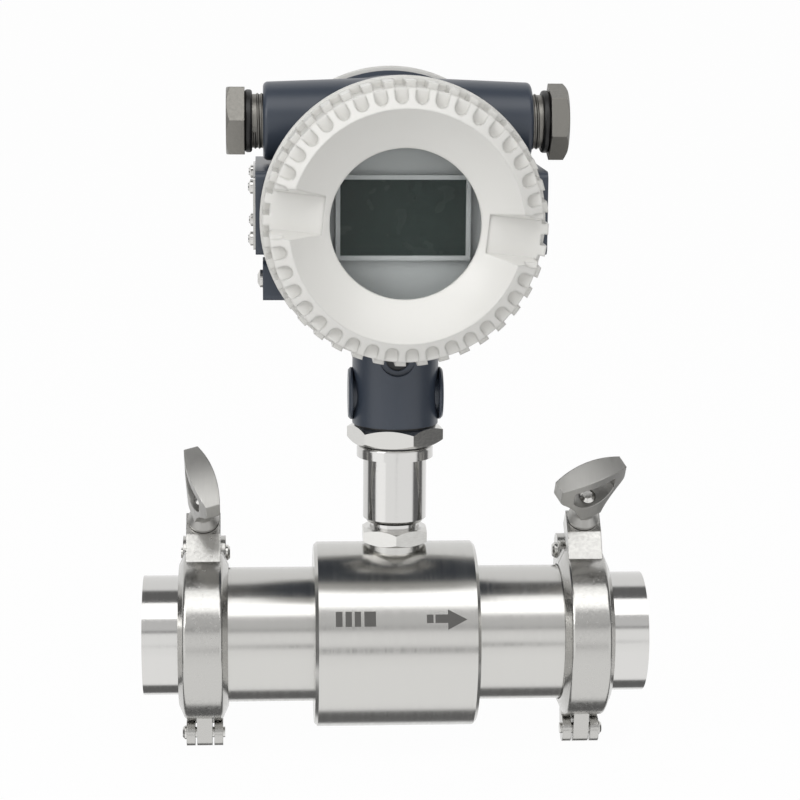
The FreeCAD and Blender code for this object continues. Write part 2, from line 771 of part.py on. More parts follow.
def bolt_point(along, across):
    """A point in a clamp's own plane, from the bolt's pivot: along the bolt and square to it."""
    y = f"(pivot_back - ({along}) * cos(bolt_tilt) + ({across}) * sin(bolt_tilt))"
    z = f"(pivot_height + ({along}) * sin(bolt_tilt) + ({across}) * cos(bolt_tilt))"
    return y, z


def clamp_rear(name, x):
    """Rear half: ring, two ears that carry the swing bolt, and the fork of the bottom hinge."""
    body = new_body(name)
    clamp_ring(body, name, False)
    split(body, name, False)
    ear = new_sketch(body, name + "_ear_circle", "YZ_Plane")
    round_hole(ear, "pivot_back", "pivot_height", "ear_d")
    push(body, "Pad", ear, name + "_ear", "ear_width", both_ways=True)
    web = new_sketch(body, name + "_ear_web", "YZ_Plane")
    ring_r = "(clamp_od / 2 - root_sink)"
    front = "(atan(pivot_back / pivot_height) - ear_root_front * 1 deg)"
    back = "(atan(pivot_back / pivot_height) + ear_root_back * 1 deg)"
    outline(web, [(f"{ring_r} * sin({front})", f"{ring_r} * cos({front})"),
                  (f"{ring_r} * sin({back})", f"{ring_r} * cos({back})"),
                  ("pivot_back + ear_d / 2 * cos(ear_web_back)",
                   "pivot_height + ear_d / 2 * sin(ear_web_back)"),
                  ("pivot_back - ear_d / 2 * cos(ear_web_front)",
                   "pivot_height + ear_d / 2 * sin(ear_web_front)")])
    push(body, "Pad", web, name + "_web", "ear_width", both_ways=True)
    knuckle(body, name, False, "fork_width")
    clamp_groove(body, name)
    eye_slot = new_sketch(body, name + "_eye_slot_circle", "YZ_Plane")
    round_hole(eye_slot, "pivot_back", "pivot_height", "eye_d + slot_play * 2")
    push(body, "Pocket", eye_slot, name + "_eye_slot", "eye_width + slot_play * 2", both_ways=True)
    way = new_sketch(body, name + "_bolt_way_outline", "YZ_Plane")
    low = "-bolt_d / 2 - slot_play"
    outline(way, [bolt_point("0", low), bolt_point("seat_reach * 2", low), bolt_point("seat_reach * 2",
                                                                                      "ear_d * 2"),
                  bolt_point("-ear_d", "ear_d * 2"), bolt_point("-ear_d", "0")])
    push(body, "Pocket", way, name + "_bolt_way", "eye_width + slot_play * 2", both_ways=True)
    tongue_space = new_sketch(body, name + "_tongue_space_circle", "YZ_Plane")
    round_hole(tongue_space, "0", "-hinge_drop", "knuckle_d + fork_play * 2")
    push(body, "Pocket", tongue_space, name + "_tongue_space", "tongue_width + fork_play * 2", both_ways=True)
    neck_space = new_sketch(body, name + "_neck_space_outline", "YZ_Plane")
    outline(neck_space, [("-knuckle_d", "-hinge_drop - knuckle_d"), ("split_gap / 2",
                                                                     "-hinge_drop - knuckle_d"),
                         ("split_gap / 2", "-clamp_lip_d / 2"), ("-knuckle_d", "-clamp_lip_d / 2")])
    push(body, "Pocket", neck_space, name + "_neck_space", "tongue_width + fork_play * 2", both_ways=True)
    holes = new_sketch(body, name + "_pin_holes", "YZ_Plane")
    round_hole(holes, "0", "-hinge_drop", "hinge_pin_d")
    round_hole(holes, "pivot_back", "pivot_height", "pivot_pin_d")
    push(body, "Pocket", holes, name + "_pins_bored", "ear_width * 2", both_ways=True)
    return place(body, x)


def clamp_front(name, x):
    """Front half: ring, the lug with the slanted seat and its open slot, and the hinge tongue."""
    body = new_body(name)
    clamp_ring(body, name, True)
    split(body, name, True)
    lug = new_sketch(body, name + "_lug_outline", "YZ_Plane")
    ring_r = "(clamp_od / 2 - root_sink)"
    outline(lug, [("-split_gap / 2", f"{ring_r}"), (f"-{ring_r} * sin(lug_root)",
                                                    f"{ring_r} * cos(lug_root)"),
                  bolt_point("seat_reach", "-seat_below"), bolt_point("seat_reach", "seat_above"),
                  bolt_point("seat_reach - seat_thickness", "seat_above"),
                  bolt_point("seat_reach - seat_thickness", "-seat_below + seat_heel"),
                  ("-split_gap / 2", "clamp_od / 2 + lug_rise")])
    push(body, "Pad", lug, name + "_lug", "seat_width", both_ways=True)
    knuckle(body, name, True, "tongue_width")
    clamp_groove(body, name)
    slot = new_sketch(body, name + "_bolt_slot_outline", "YZ_Plane")
    low = "-bolt_d / 2 - slot_play"
    outline(slot, [bolt_point("0", low), bolt_point("seat_reach * 2", low), bolt_point("seat_reach * 2",
                                                                                       "ear_d"),
                   bolt_point("0", "ear_d")])
    push(body, "Pocket", slot, name + "_bolt_slot", "bolt_d + slot_play * 2", both_ways=True)
    for side, start in (("left", "-fork_width"), ("right", "tongue_width / 2")):
        shoulder = new_sketch(body, f"{name}_{side}_fork_space", "YZ_Plane", start)
        round_hole(shoulder, "0", "-hinge_drop", "knuckle_d + fork_play * 2")
        push(body, "Pocket", shoulder, f"{name}_{side}_shoulder", "fork_width - tongue_width / 2",
             backward=True)
    hole = new_sketch(body, name + "_pin_hole", "YZ_Plane")
    round_hole(hole, "0", "-hinge_drop", "hinge_pin_d + pin_play * 2")
    push(body, "Pocket", hole, name + "_pin_bored", "fork_width", both_ways=True)
    return place(body, x)


def headed_pin(name, x, y, z, diameter, span, head_d, head, flip):
    """A pin with a domed head on one side, peened flush on the other."""
    half = f"({span}) / 2"
    body = turned(name, "X", [
        (f"-({half}) - {head}", "0"), (f"-({half}) - {head}", f"({head_d}) / 2 - {head} / 2"),
        (f"-({half}) - {head} / 2", f"({head_d}) / 2"), (f"-({half})", f"({head_d}) / 2"),
        (f"-({half})", f"({diameter}) / 2"), (f"{half} + {head} / 2", f"({diameter}) / 2"),
        (f"{half} + {head} / 2", "0")])
    return place(body, x, y, z, axis=ALONG_Z, angle="180" if flip else "0")


BOLT_LEAN = "(90 - bolt_tilt)"


def swing_bolt(name, x):
    """Eye bolt: its eye swings on the pivot pin, its shank lies in the front lug's slot."""
    body = new_body(name)
    eye = new_sketch(body, name + "_eye_circle", "YZ_Plane")
    round_hole(eye, "0", "0", "eye_d")
    push(body, "Pad", eye, name + "_eye", "eye_width", both_ways=True)
    shank = new_sketch(body, name + "_shank_profile", "XZ_Plane")
    thread_r = "bolt_d / 2"
    outline(shank, [("0", "0"), (thread_r, "0"), (thread_r, "bolt_reach - edge_break"),
                    (f"{thread_r} - edge_break", "bolt_reach"), ("0", "bolt_reach")])
    turn_about(body, "Revolution", shank, name + "_shank", "V_Axis")
    hole = new_sketch(body, name + "_eye_hole", "YZ_Plane")
    round_hole(hole, "0", "0", "pivot_pin_d + pin_play * 2")
    push(body, "Pocket", hole, name + "_eye_bored", "eye_width * 2", both_ways=True)
    return place(body, x, "pivot_back", "pivot_height", axis=ALONG_X, angle=BOLT_LEAN)


def wing_nut(name, x, turn):
    """Cast wing nut: waisted hub, fan-shaped wings with a lens-shaped crowned top, one open window."""
    half_span = "(wing_span / 2)"
    body = new_body(name)
    hub = new_sketch(body, name + "_hub_profile", "XZ_Plane")
    hole_r = "bolt_d / 2 + pin_play"
    outline(hub, [(hole_r, "0"), ("nut_base_d / 2", "0"), ("nut_base_d / 2", "nut_base / 2"),
                  ("nut_waist_d / 2", "nut_waist_height / 2 + nut_base / 2"), ("nut_waist_d / 2",
                                                                               "nut_waist_height"),
                  ("nut_waist_d / 2 + hub_swell", "hub_top"), (hole_r, "hub_top")])
    lens = new_sketch(body, name + "_lens_outline", "XY_Plane", "nut_waist_height")
    swell = "(wing_thickness / 2 - wing_end)"
    arc_r = f"(({half_span} ^ 2 + {swell} ^ 2) / (2 * {swell}))"
    outline(lens, [(f"-{half_span}", "-wing_end"), (half_span, "-wing_end"), (half_span, "wing_end"),
                   (f"-{half_span}", "wing_end")], arcs={0: "+" + arc_r, 2: "+" + arc_r})
    push(body, "Pad", lens, name + "_wings", "nut_height - nut_waist_height")
    side = new_sketch(body, name + "_side_cut", "XZ_Plane")
    end_low = "nut_height - nut_crown - wing_end_height"
    end_high = "nut_height - nut_crown"
    far = "wing_span"
    crown_r = f"(({half_span} ^ 2 + nut_crown ^ 2) / (2 * nut_crown))"
    outline(side, [(f"-{far}", "nut_base"), (far, "nut_base"), (far, "nut_height * 2"),
                   (f"-{far}", "nut_height * 2")])
    low = "(nut_waist_height - wing_sink)"
    tip = f"({half_span} - wing_tuck)"
    outline(side, [("-nut_waist_d / 2", low), ("nut_waist_d / 2", low), (tip, end_low),
                   (half_span, f"{end_low} + wing_heel"), (half_span, end_high), (f"-{half_span}", end_high),
                   (f"-{half_span}", f"{end_low} + wing_heel"), (f"-{tip}", end_low)],
            arcs={4: "+" + crown_r, 1: "-wing_curve", 7: "-wing_curve"})
    push(body, "Pocket", side, name + "_fan", "wing_thickness * 2", both_ways=True)
    turn_about(body, "Revolution", hub, name + "_hub", "V_Axis")
    window = new_sketch(body, name + "_window_outline", "XZ_Plane")
    outline(window, [("-window_span / 2", "window_high"), ("-window_span / 2", "window_high - window_side"),
                     ("window_span / 2", "window_high - window_side"), ("window_span / 2", "window_high")],
            rounds={0: "window_round", 3: "window_round"}, arcs={1: "+window_curve"})
    push(body, "Pocket", window, name + "_window", "wing_thickness * 2", both_ways=True)
    bored = new_sketch(body, name + "_thread_circle", "XY_Plane")
    round_hole(bored, "0", "0", "bolt_d + pin_play * 2")
    push(body, "Pocket", bored, name + "_thread", "thread_floor", backward=True)
    base_y, base_z = bolt_point("seat_reach + nut_gap", "0")
    lean = FreeCAD.Rotation(ALONG_X, value(BOLT_LEAN))
    spin = FreeCAD.Rotation(ALONG_Z, value(turn))
    body.Placement = FreeCAD.Placement(FreeCAD.Vector(), lean.multiply(spin))
    for letter, formula in zip("xyz", (x, base_y, base_z)):
        tie(body, f"Placement.Base.{letter}", formula)
    return body


def clamp(prefix, x, flip, turn):
    clamp_rear(prefix + "_clamp_rear", x)
    clamp_front(prefix + "_clamp_front", x)
    headed_pin(prefix + "_hinge_pin", x, "0", "-hinge_drop", "hinge_pin_d", "fork_width", "hinge_pin_head_d",
               "hinge_pin_head", flip)
    swing_bolt(prefix + "_swing_bolt", x)
    headed_pin(prefix + "_pivot_pin", x, "pivot_back", "pivot_height", "pivot_pin_d", "ear_width",
               "pivot_pin_head_d",
               "pivot_pin_head", not flip)
    wing_nut(prefix + "_wing_nut", x, turn)


# Neck


def standpipe():
    """Tube between the body and the head: thread below, collar above, spigot that the head turns on."""
    bore_r = "standpipe_bore / 2"
    thread_r = "standpipe_thread_d / 2"
    pipe_r = "standpipe_od / 2"
    low = "pickup_floor + edge_break"
    body = turned("standpipe", "Z", [
        (bore_r, low), (thread_r, low), (thread_r, "standpipe_low"),
        (f"{pipe_r} - standpipe_break", "standpipe_low"), (pipe_r, "standpipe_low + standpipe_break"),
        (pipe_r, "collar_low"), ("collar_d / 2", "collar_low"), ("collar_d / 2", "collar_high"),
        ("spigot_d / 2", "collar_high"), ("spigot_d / 2", SPIGOT_TOP), (bore_r, SPIGOT_TOP)],
        rounds={7: "collar_round"})
    return place(body, NECK_X)


def neck_parts():
    place(hex_nut("lower_lock_nut", "boss_height", "lower_nut_top", "lower_nut_af",
                  "standpipe_thread_d + seal_play * 2", "-90"), NECK_X)
    standpipe()
    low = "pickup_floor + edge_break * 2"
    coil_r = "coil_d / 2"
    coil_top = f"{low} + coil_length"
    place(turned("pickup_coil", "Z", [
        ("0", low), (f"{coil_r} - edge_break", low), (coil_r, f"{low} + edge_break"), (coil_r, coil_top),
        ("coil_d / 4", coil_top), ("coil_d / 4", f"{coil_top} + coil_stub"),
        ("0", f"{coil_top} + coil_stub")]), NECK_X)
    inner = "spigot_d / 2 + swivel_play"
    place(turned("collar_seal", "Z", standing_ring("collar_high", UPPER_NUT_LOW, inner,
                                                   "collar_d / 2 - collar_seal_inset")), NECK_X)
    place(hex_nut("upper_hex_nut", UPPER_NUT_LOW, UPPER_NUT_TOP, "upper_nut_af", "spigot_d + seal_play * 2",
                  "upper_nut_turn - 90"), NECK_X)
    place(turned("neck_seal", "Z", standing_ring(UPPER_NUT_TOP, NECK_BOTTOM, inner,
                                                 "neck_d / 2 - neck_seal_inset")),
          NECK_X)


# Head


def housing():
    """The casting: bowl with a barrel at each end, wall between two chambers, cross tube, neck and pads."""
    barrel_r = "barrel_d / 2"
    head_r = "(barrel_d / 2 + head_step)"
    rim_r = "(barrel_d / 2 + head_rim_step)"
    front_end = "-(head_front + barrel_length)"
    back_end = "(head_back + rear_barrel_length)"
    foot = "-neck_length"
    body = new_body("housing")
    bowl = new_sketch(body, "bowl_profile", "YZ_Plane")
    outline(bowl, [
        (front_end, CAVITY_R), ("-wall_front", CAVITY_R), ("-wall_front", "0"), ("-wall_back", "0"),
        ("-wall_back", CAVITY_R), (back_end, CAVITY_R), (back_end, barrel_r), ("head_back", barrel_r),
        ("head_back", rim_r), ("head_back - head_rim", rim_r), ("head_back - head_rim - head_rim_slope",
                                                                head_r),
        ("-head_front + head_rim + head_rim_slope", head_r), ("-head_front + head_rim", rim_r),
        ("-head_front", rim_r), ("-head_front", barrel_r), (front_end, barrel_r)])
    turn_about(body, "Revolution", bowl, "bowl")
    cable_tube(body)
    neck = new_sketch(body, "neck_circle", "XY_Plane", foot)
    round_hole(neck, "0", "0", "neck_d")
    push(body, "Pad", neck, "neck", f"neck_length - {CAVITY_R}")
    pads = new_sketch(body, "pads_outline", "YZ_Plane")
    outline(pads, [("pad_front", "pad_low"), ("pad_back", "pad_low"), ("pad_back", "pad_high"),
                   ("pad_front", "pad_high")], rounds={corner: "pad_round" for corner in range(4)})
    push(body, "Pad", pads, "side_pads", f"{PAD_REACH} * 2", both_ways=True)
    earth = new_sketch(body, "earth_block_outline", "YZ_Plane", f"-{EARTH_REACH}")
    outline(earth, [("earth_front", "earth_low"), ("earth_back", "earth_low"), ("earth_back", "earth_high"),
                    ("earth_front", "earth_high")], rounds={corner: "earth_round" for corner in range(4)})
    push(body, "Pad", earth, "earth_block", "earth_length")
    hollows = new_sketch(body, "hollows_profile", "YZ_Plane")
    outline(hollows, [(f"{front_end} - {PAST}", "0"), ("-wall_front", "0"), ("-wall_front", CAVITY_R),
                      (f"{front_end} - {PAST}", CAVITY_R)])
    outline(hollows, [("-wall_back", "0"), (f"{back_end} + {PAST}", "0"), (f"{back_end} + {PAST}", CAVITY_R),
                      ("-wall_back", CAVITY_R)])
    turn_about(body, "Groove", hollows, "hollows")
    spigot = new_sketch(body, "spigot_bore_circle", "XY_Plane", foot)
    round_hole(spigot, "0", "0", "spigot_d + swivel_play * 2")
    push(body, "Pocket", spigot, "spigot_bore", f"spigot_rise + {PAST}", backward=True)
    wires = new_sketch(body, "wire_hole_circle", "XY_Plane", foot)
    round_hole(wires, "0", "0", "wire_hole_d")
    push(body, "Pocket", wires, "wire_hole", f"neck_length - {CAVITY_R} / 2", backward=True)
    side_holes(body)
    lock_recess(body)
    drilled = new_sketch(body, "plate_screw_holes", "YZ_Plane", f"-{PAD_REACH}")
    for y, z in plate_screw_spots():
        round_hole(drilled, y, z, "screw_d + press_play * 2")
    push(body, "Pocket", drilled, "plate_screws_drilled", "screw_depth", backward=True)
    earth_hole = new_sketch(body, "earth_hole_circle", "YZ_Plane", f"-{EARTH_REACH}")
    round_hole(earth_hole, "(earth_front + earth_back) / 2", "(earth_low + earth_high) / 2",
               "screw_d + press_play * 2")
    push(body, "Pocket", earth_hole, "earth_hole", "screw_depth", backward=True)
    return place(body, NECK_X, z=HEAD_Z)


def cable_tube(body):
    """The cross tube of the two cable entries, thinner toward its ends by the casting's draft."""
    end_r = "(tube_rise + tube_d / 2)"
    middle_r = f"({end_r} + {TUBE_END} * tan(tube_draft))"
    tube = new_sketch(body, "tube_profile", "XZ_Plane")
    outline(tube, [(f"-{TUBE_END}", "tube_rise"), (TUBE_END, "tube_rise"), (TUBE_END, end_r), ("0", middle_r),
                   (f"-{TUBE_END}", end_r)], rounds={2: "tube_round", 4: "tube_round"})
    ends = [FreeCAD.Vector(sign, value("tube_rise"), 0) for sign in (-1, 1)]
    axis = tube.addGeometry(Part.LineSegment(*ends), True)
    hold(tube, axis, 1, ("-" + PAST, "tube_rise"))
    hold(tube, axis, 2, (PAST, "tube_rise"))
    turn_about(body, "Revolution", tube, "cable_tube", "Axis0")


def side_holes(body):
    """The two cable entries, and under them the seats of the neck's blind caps."""
    for side, sign, backward in (("left", "-", True), ("right", "", False)):
        entry = new_sketch(body, side + "_entry_circle", "YZ_Plane", f"{sign}{TUBE_END}")
        round_hole(entry, "0", "tube_rise", "plug_thread_d + thread_play * 2")
        push(body, "Pocket", entry, side + "_entry", f"{TUBE_END} - entry_floor", backward=backward)
        cap = new_sketch(body, side + "_cap_circle", "YZ_Plane", f"{sign}(neck_d / 2 + {PAST})")
        round_hole(cap, "0", "cap_up - neck_length", "cap_d - cap_lip * 2 + press_play * 2")
        push(body, "Pocket", cap, side + "_cap_seat", f"cap_depth + {PAST}", backward=backward)


def lock_recess(body):
    """The flat with a round lower end in front of the neck, and the hole of the screw that locks the head."""
    half = "lock_face_width / 2"
    middle = "(lock_up - neck_length)"
    face = new_sketch(body, "lock_face_outline", "XZ_Plane", "neck_d / 2 - lock_face_depth")
    outline(face, [(f"-{half}", middle), (half, middle), (half, f"{middle} + lock_face_long"),
                   (f"-{half}", f"{middle} + lock_face_long")], arcs={0: f"+({half} + press_play)"})
    push(body, "Pocket", face, "lock_face", "neck_d", backward=True)
    lock = new_sketch(body, "lock_hole_circle", "XZ_Plane")
    round_hole(lock, "0", middle, "lock_d")
    push(body, "Pocket", lock, "lock_hole", "neck_d", backward=True)


def plate_screw_spots():
    middle_y = "((pad_front + pad_back) / 2)"
    middle_z = "((pad_low + pad_high) / 2)"
    return [(f"{middle_y} {a} (plate_length / 2 - screw_inset)",
             f"{middle_z} {b} (plate_height / 2 - screw_inset)")
            for a in "-+" for b in "-+"]


def front_cover():
    """Screwed ring with the window: fluted face, castellated side and two wrench notches."""
    rear = "-(head_front + cover_seal_thickness)"
    waist_r = f"({COVER_PAD_R} - cover_waist)"
    ring_back = "-(cover_side_front + cover_waist_width)"
    inner_face = f"-(head_front + barrel_length + {PAST})"
    lip_back = "-(window_front - glass_lip)"
    bore_r = f"({GLASS_R} + thread_play)"
    body = new_body("front_cover")
    sketch = new_sketch(body, "front_cover_profile", "YZ_Plane")
    outline(sketch, [
        (rear, SKIRT_R), (rear, COVER_R), (f"{rear} - cover_rim", COVER_R), (f"{rear} - cover_rim",
                                                                             COVER_PAD_R),
        ("-cover_side_front", COVER_PAD_R), ("-cover_side_front", waist_r), (ring_back, waist_r),
        (ring_back, COVER_STEP_R), ("-cover_step_front", COVER_STEP_R), ("-cover_front", CREST_R),
        ("-window_front", "window_d / 2"), (lip_back, "window_d / 2"), (lip_back, bore_r), (inner_face,
                                                                                            bore_r),
        (inner_face, SKIRT_R)], arcs={9: "-dish_curve"})
    turn_about(body, "Revolution", sketch, "front_cover_turned")
    side_notches(body, "front", "-cover_side_front", f"{rear} - cover_rim", False)
    half = "flute_width / 2"
    flute_r = f"({CREST_R} + flute_inset)"
    groove = new_sketch(body, "flute_outline", "XZ_Plane", f"cover_front + {PAST}")
    outline(groove, [(f"-{half}", f"{flute_r} + {half}"), (half, f"{flute_r} + {half}"),
                     (half, f"{COVER_R} + {PAST}"), (f"-{half}", f"{COVER_R} + {PAST}")],
            arcs={0: f"+({half} + press_play)"})
    flute = push(body, "Pocket", groove, "flute", f"cover_front + {PAST} - flute_floor")
    repeat(body, [flute], "flutes", "Y_Axis", "flute_count")
    for side, sign in (("left", "-"), ("right", "")):
        inner = f"{sign}(window_d / 2 + wrench_inset)"
        outer = f"{sign}({COVER_R} * 2)"
        wrench = new_sketch(body, side + "_wrench_outline", "XZ_Plane", "cover_side_front")
        outline(wrench, [(inner, "-wrench_width / 2"), (outer, "-wrench_width / 2"), (outer,
                                                                                      "wrench_width / 2"),
                         (inner, "wrench_width / 2")])
        notch = push(body, "Pocket", wrench, side + "_wrench_notch",
                     f"cover_front + {PAST} - cover_side_front",
                     backward=True)
        tie(notch, "TaperAngle", "wrench_draft * 1 deg")
    return place(body, NECK_X, z=HEAD_Z, axis=ALONG_Y, angle="cover_turn")


def side_notches(body, name, face, rim, behind):
    """The notches round a cover's side, from its free face to just short of its rim."""
    half = "side_notch_width / 2"
    sign = "-" if behind else ""
    toward = "+" if behind else "-"
    sketch = new_sketch(body, name + "_notch_outline", "XZ_Plane", f"-({face} {toward} {PAST})")
    outline(sketch, [(f"-{half}", NOTCH_R), (half, NOTCH_R), (half, f"{COVER_R} + {PAST}"),
                     (f"-{half}", f"{COVER_R} + {PAST}")])
    deep = f"{sign}(({rim}) - ({face}))"
    notch = push(body, "Pocket", sketch, name + "_notch", deep, backward=behind)
    return repeat(body, [notch], name + "_notches", "Y_Axis", "flute_count")


def rear_cover():
    """Blind screwed cover of the cable chamber, with the same notches on its side."""
    front = "(head_back + cover_seal_thickness)"
    back = f"({front} + rear_cover_length)"
    inside = f"({back} - rear_cover_wall)"
    ring_back = f"({back} - rear_cover_slope - rear_cover_band)"
    body = new_body("rear_cover")
    sketch = new_sketch(body, "rear_cover_profile", "YZ_Plane")
    outline(sketch, [
        (front, SKIRT_R), (inside, SKIRT_R), (inside, "0"), (back, "0"), (back, CREST_R),
        (f"{back} - rear_cover_slope", COVER_STEP_R), (ring_back, COVER_STEP_R), (ring_back, COVER_PAD_R),
        (f"{front} + cover_rim", COVER_PAD_R), (f"{front} + cover_rim", COVER_R), (front, COVER_R)])
    turn_about(body, "Revolution", sketch, "rear_cover_turned")
    side_notches(body, "rear", ring_back, f"{front} + cover_rim", True)
    return place(body, NECK_X, z=HEAD_Z)


def cover_parts():
    seal_r = f"({SKIRT_R} + cover_seal_width)"
    lip_back = "-(window_front - glass_lip)"
    glass_front = f"({lip_back} + glass_seal)"
    glass_back = f"({glass_front} + glass_thickness)"
    front_seal = turned("front_cover_seal", "Y", ring_profile("-(head_front + cover_seal_thickness)",
                                                              "-head_front",
                                                              SKIRT_R, seal_r))
    rear_seal = turned("rear_cover_seal", "Y", ring_profile("head_back", "head_back + cover_seal_thickness",
                                                            SKIRT_R, seal_r))
    seal = turned("glass_gasket", "Y", ring_profile(lip_back, glass_front, "window_d / 2 + gasket_relief",
                                                    GLASS_R))
    glass = turned("window_glass", "Y", [(glass_front, "0"), (glass_back, "0"), (glass_back, GLASS_R),
                                         (glass_front, GLASS_R)])
    ring = turned("glass_ring", "Y", ring_profile(glass_back, f"{glass_back} + glass_ring_length",
                                                  f"{GLASS_R} - glass_ring_wall",
                                                  f"{GLASS_R} + thread_play - seal_play"))
    for piece in (front_seal, rear_seal, seal, glass, ring):
        place(piece, NECK_X, z=HEAD_Z)


def panel_outline(sketch, margin="0"):
    """The crystal panel's rectangle, or the frame's round it."""
    wide = f"(lcd_width / 2 + {margin})"
    high = f"(lcd_height / 2 + {margin})"
    low_z = f"lcd_rise - {high}"
    high_z = f"lcd_rise + {high}"
    outline(sketch, [(f"-{wide}", low_z), (wide, low_z), (wide, high_z), (f"-{wide}", high_z)])


def display():
    """Face plate with its frame, the crystal panel, and the board behind it on four posts."""
    back = "(-face_plate_front + face_plate_thickness)"
    plate = new_body("display_face")
    disc = new_sketch(plate, "face_circle", "XZ_Plane", f"-{back}")
    round_hole(disc, "0", "0", f"({CAVITY_R} - face_plate_play) * 2")
    push(plate, "Pad", disc, "face_disc", "face_plate_thickness")
    frame = new_sketch(plate, "frame_outline", "XZ_Plane", "face_plate_front")
    panel_outline(frame, "lcd_frame")
    push(plate, "Pad", frame, "frame", "lcd_thickness")
    opening = new_sketch(plate, "opening_outline", "XZ_Plane", "face_plate_front + lcd_thickness")
    panel_outline(opening)
    push(plate, "Pocket", opening, "opening", "lcd_thickness + face_plate_thickness")
    place(plate, NECK_X, z=HEAD_Z)
    panel = new_body("lcd_panel")
    glass = new_sketch(panel, "lcd_outline", "XZ_Plane", "face_plate_front + lcd_thickness - lcd_sink")
    panel_outline(glass, "-seal_play")
    push(panel, "Pad", glass, "lcd_glass", "lcd_thickness + face_plate_thickness - lcd_sink", backward=True)
    place(panel, NECK_X, z=HEAD_Z)
    circuit_board()


def circuit_board():
    board = new_body("circuit_board")
    level = "(-face_plate_front + face_plate_thickness + board_gap)"
    board_r = f"({CAVITY_R} - board_play)"
    reach = f"({board_r} - post_inset) * cos(45)"
    round_board = new_sketch(board, "board_circle", "XZ_Plane", f"-{level}")
    round_hole(round_board, "0", "0", f"{board_r} * 2")
    push(board, "Pad", round_board, "board_disc", "board_thickness", backward=True)
    posts = new_sketch(board, "posts_circles", "XZ_Plane", f"-{level}")
    legs = new_sketch(board, "legs_circles", "XZ_Plane", f"-{level} - board_thickness")
    for sketch in (posts, legs):
        for x in (f"-{reach}", reach):
            for z in (f"-{reach}", reach):
                round_hole(sketch, x, z, "post_d")
    push(board, "Pad", posts, "front_posts", "board_gap")
    push(board, "Pad", legs, "rear_posts", f"-wall_front - {level} - board_thickness", backward=True)
    place(board, NECK_X, z=HEAD_Z)


def terminal_block():
    """Row of screw terminals on the wall of the cable chamber."""
    body = new_body("terminal_block")
    block = new_sketch(body, "terminal_outline", "XZ_Plane", "wall_back")
    outline(block, [("-terminal_width / 2", "-terminal_height / 2"), ("terminal_width / 2",
                                                                      "-terminal_height / 2"),
                    ("terminal_width / 2", "terminal_height / 2"), ("-terminal_width / 2",
                                                                    "terminal_height / 2")])
    push(body, "Pad", block, "terminal_base", "terminal_depth", backward=True)
    step = new_sketch(body, "terminal_step_outline", "YZ_Plane")
    step_y = "-wall_back + terminal_step"
    far_y = f"-wall_back + terminal_depth + {PAST}"
    outline(step, [(step_y, "0"), (far_y, "0"), (far_y, "terminal_height"), (step_y, "terminal_height")])
    push(body, "Pocket", step, "terminal_step", "terminal_width * 2", both_ways=True)
    ways = new_sketch(body, "terminal_way_circles", "XZ_Plane", "wall_back - terminal_depth")
    for index in range(int(SIZES["terminal_ways"])):
        x = f"terminal_width * ({index} + 0.5) / terminal_ways - terminal_width / 2"
        round_hole(ways, x, "-terminal_height / 4", "terminal_way_d")
    push(body, "Pocket", ways, "terminal_ways", "terminal_way_depth")
    return place(body, NECK_X, z=HEAD_Z)


def cable_plug(side, flip, turn):
    """Blind plug of a cable entry: plain shank for the thread, sealing ring under a hex head."""
    seal_in = f"({TUBE_END} + plug_shown_thread)"
    seal_out = f"({seal_in} + plug_seal_thickness)"
    head_out = f"({seal_out} + plug_head)"
    tip = f"({TUBE_END} - plug_thread_length)"
    shank_r = "(plug_thread_d / 2 - thread_depth)"
    body = new_body(side + "_plug")
    shank = new_sketch(body, side + "_plug_profile", "XZ_Plane")
    outline(shank, [(tip, "0"), (seal_out, "0"), (seal_out, shank_r), (f"{tip} + thread_lead_in", shank_r),
                    (tip, f"{shank_r} - thread_lead_in")])
    turn_about(body, "Revolution", shank, side + "_plug_shank")
    hexa = new_sketch(body, side + "_plug_hexagon", "YZ_Plane", seal_out)
    hexagon(hexa, "plug_af", turn)
    push(body, "Pad", hexa, side + "_plug_hex", "plug_head")
    broken_corners(body, side + "_plug", "plug_af", head_out, "-", "XZ_Plane", "H_Axis")
    seal = turned(side + "_plug_seal", "X", ring_profile(seal_in, seal_out, f"{shank_r} + seal_play",
                                                         "plug_seal_od / 2"),
                  rounds={2: "seal_round", 3: "seal_round"})
    for piece in (body, seal):
        place(piece, NECK_X, z=f"{HEAD_Z} + tube_rise", axis=ALONG_Z, angle="180" if flip else "0")


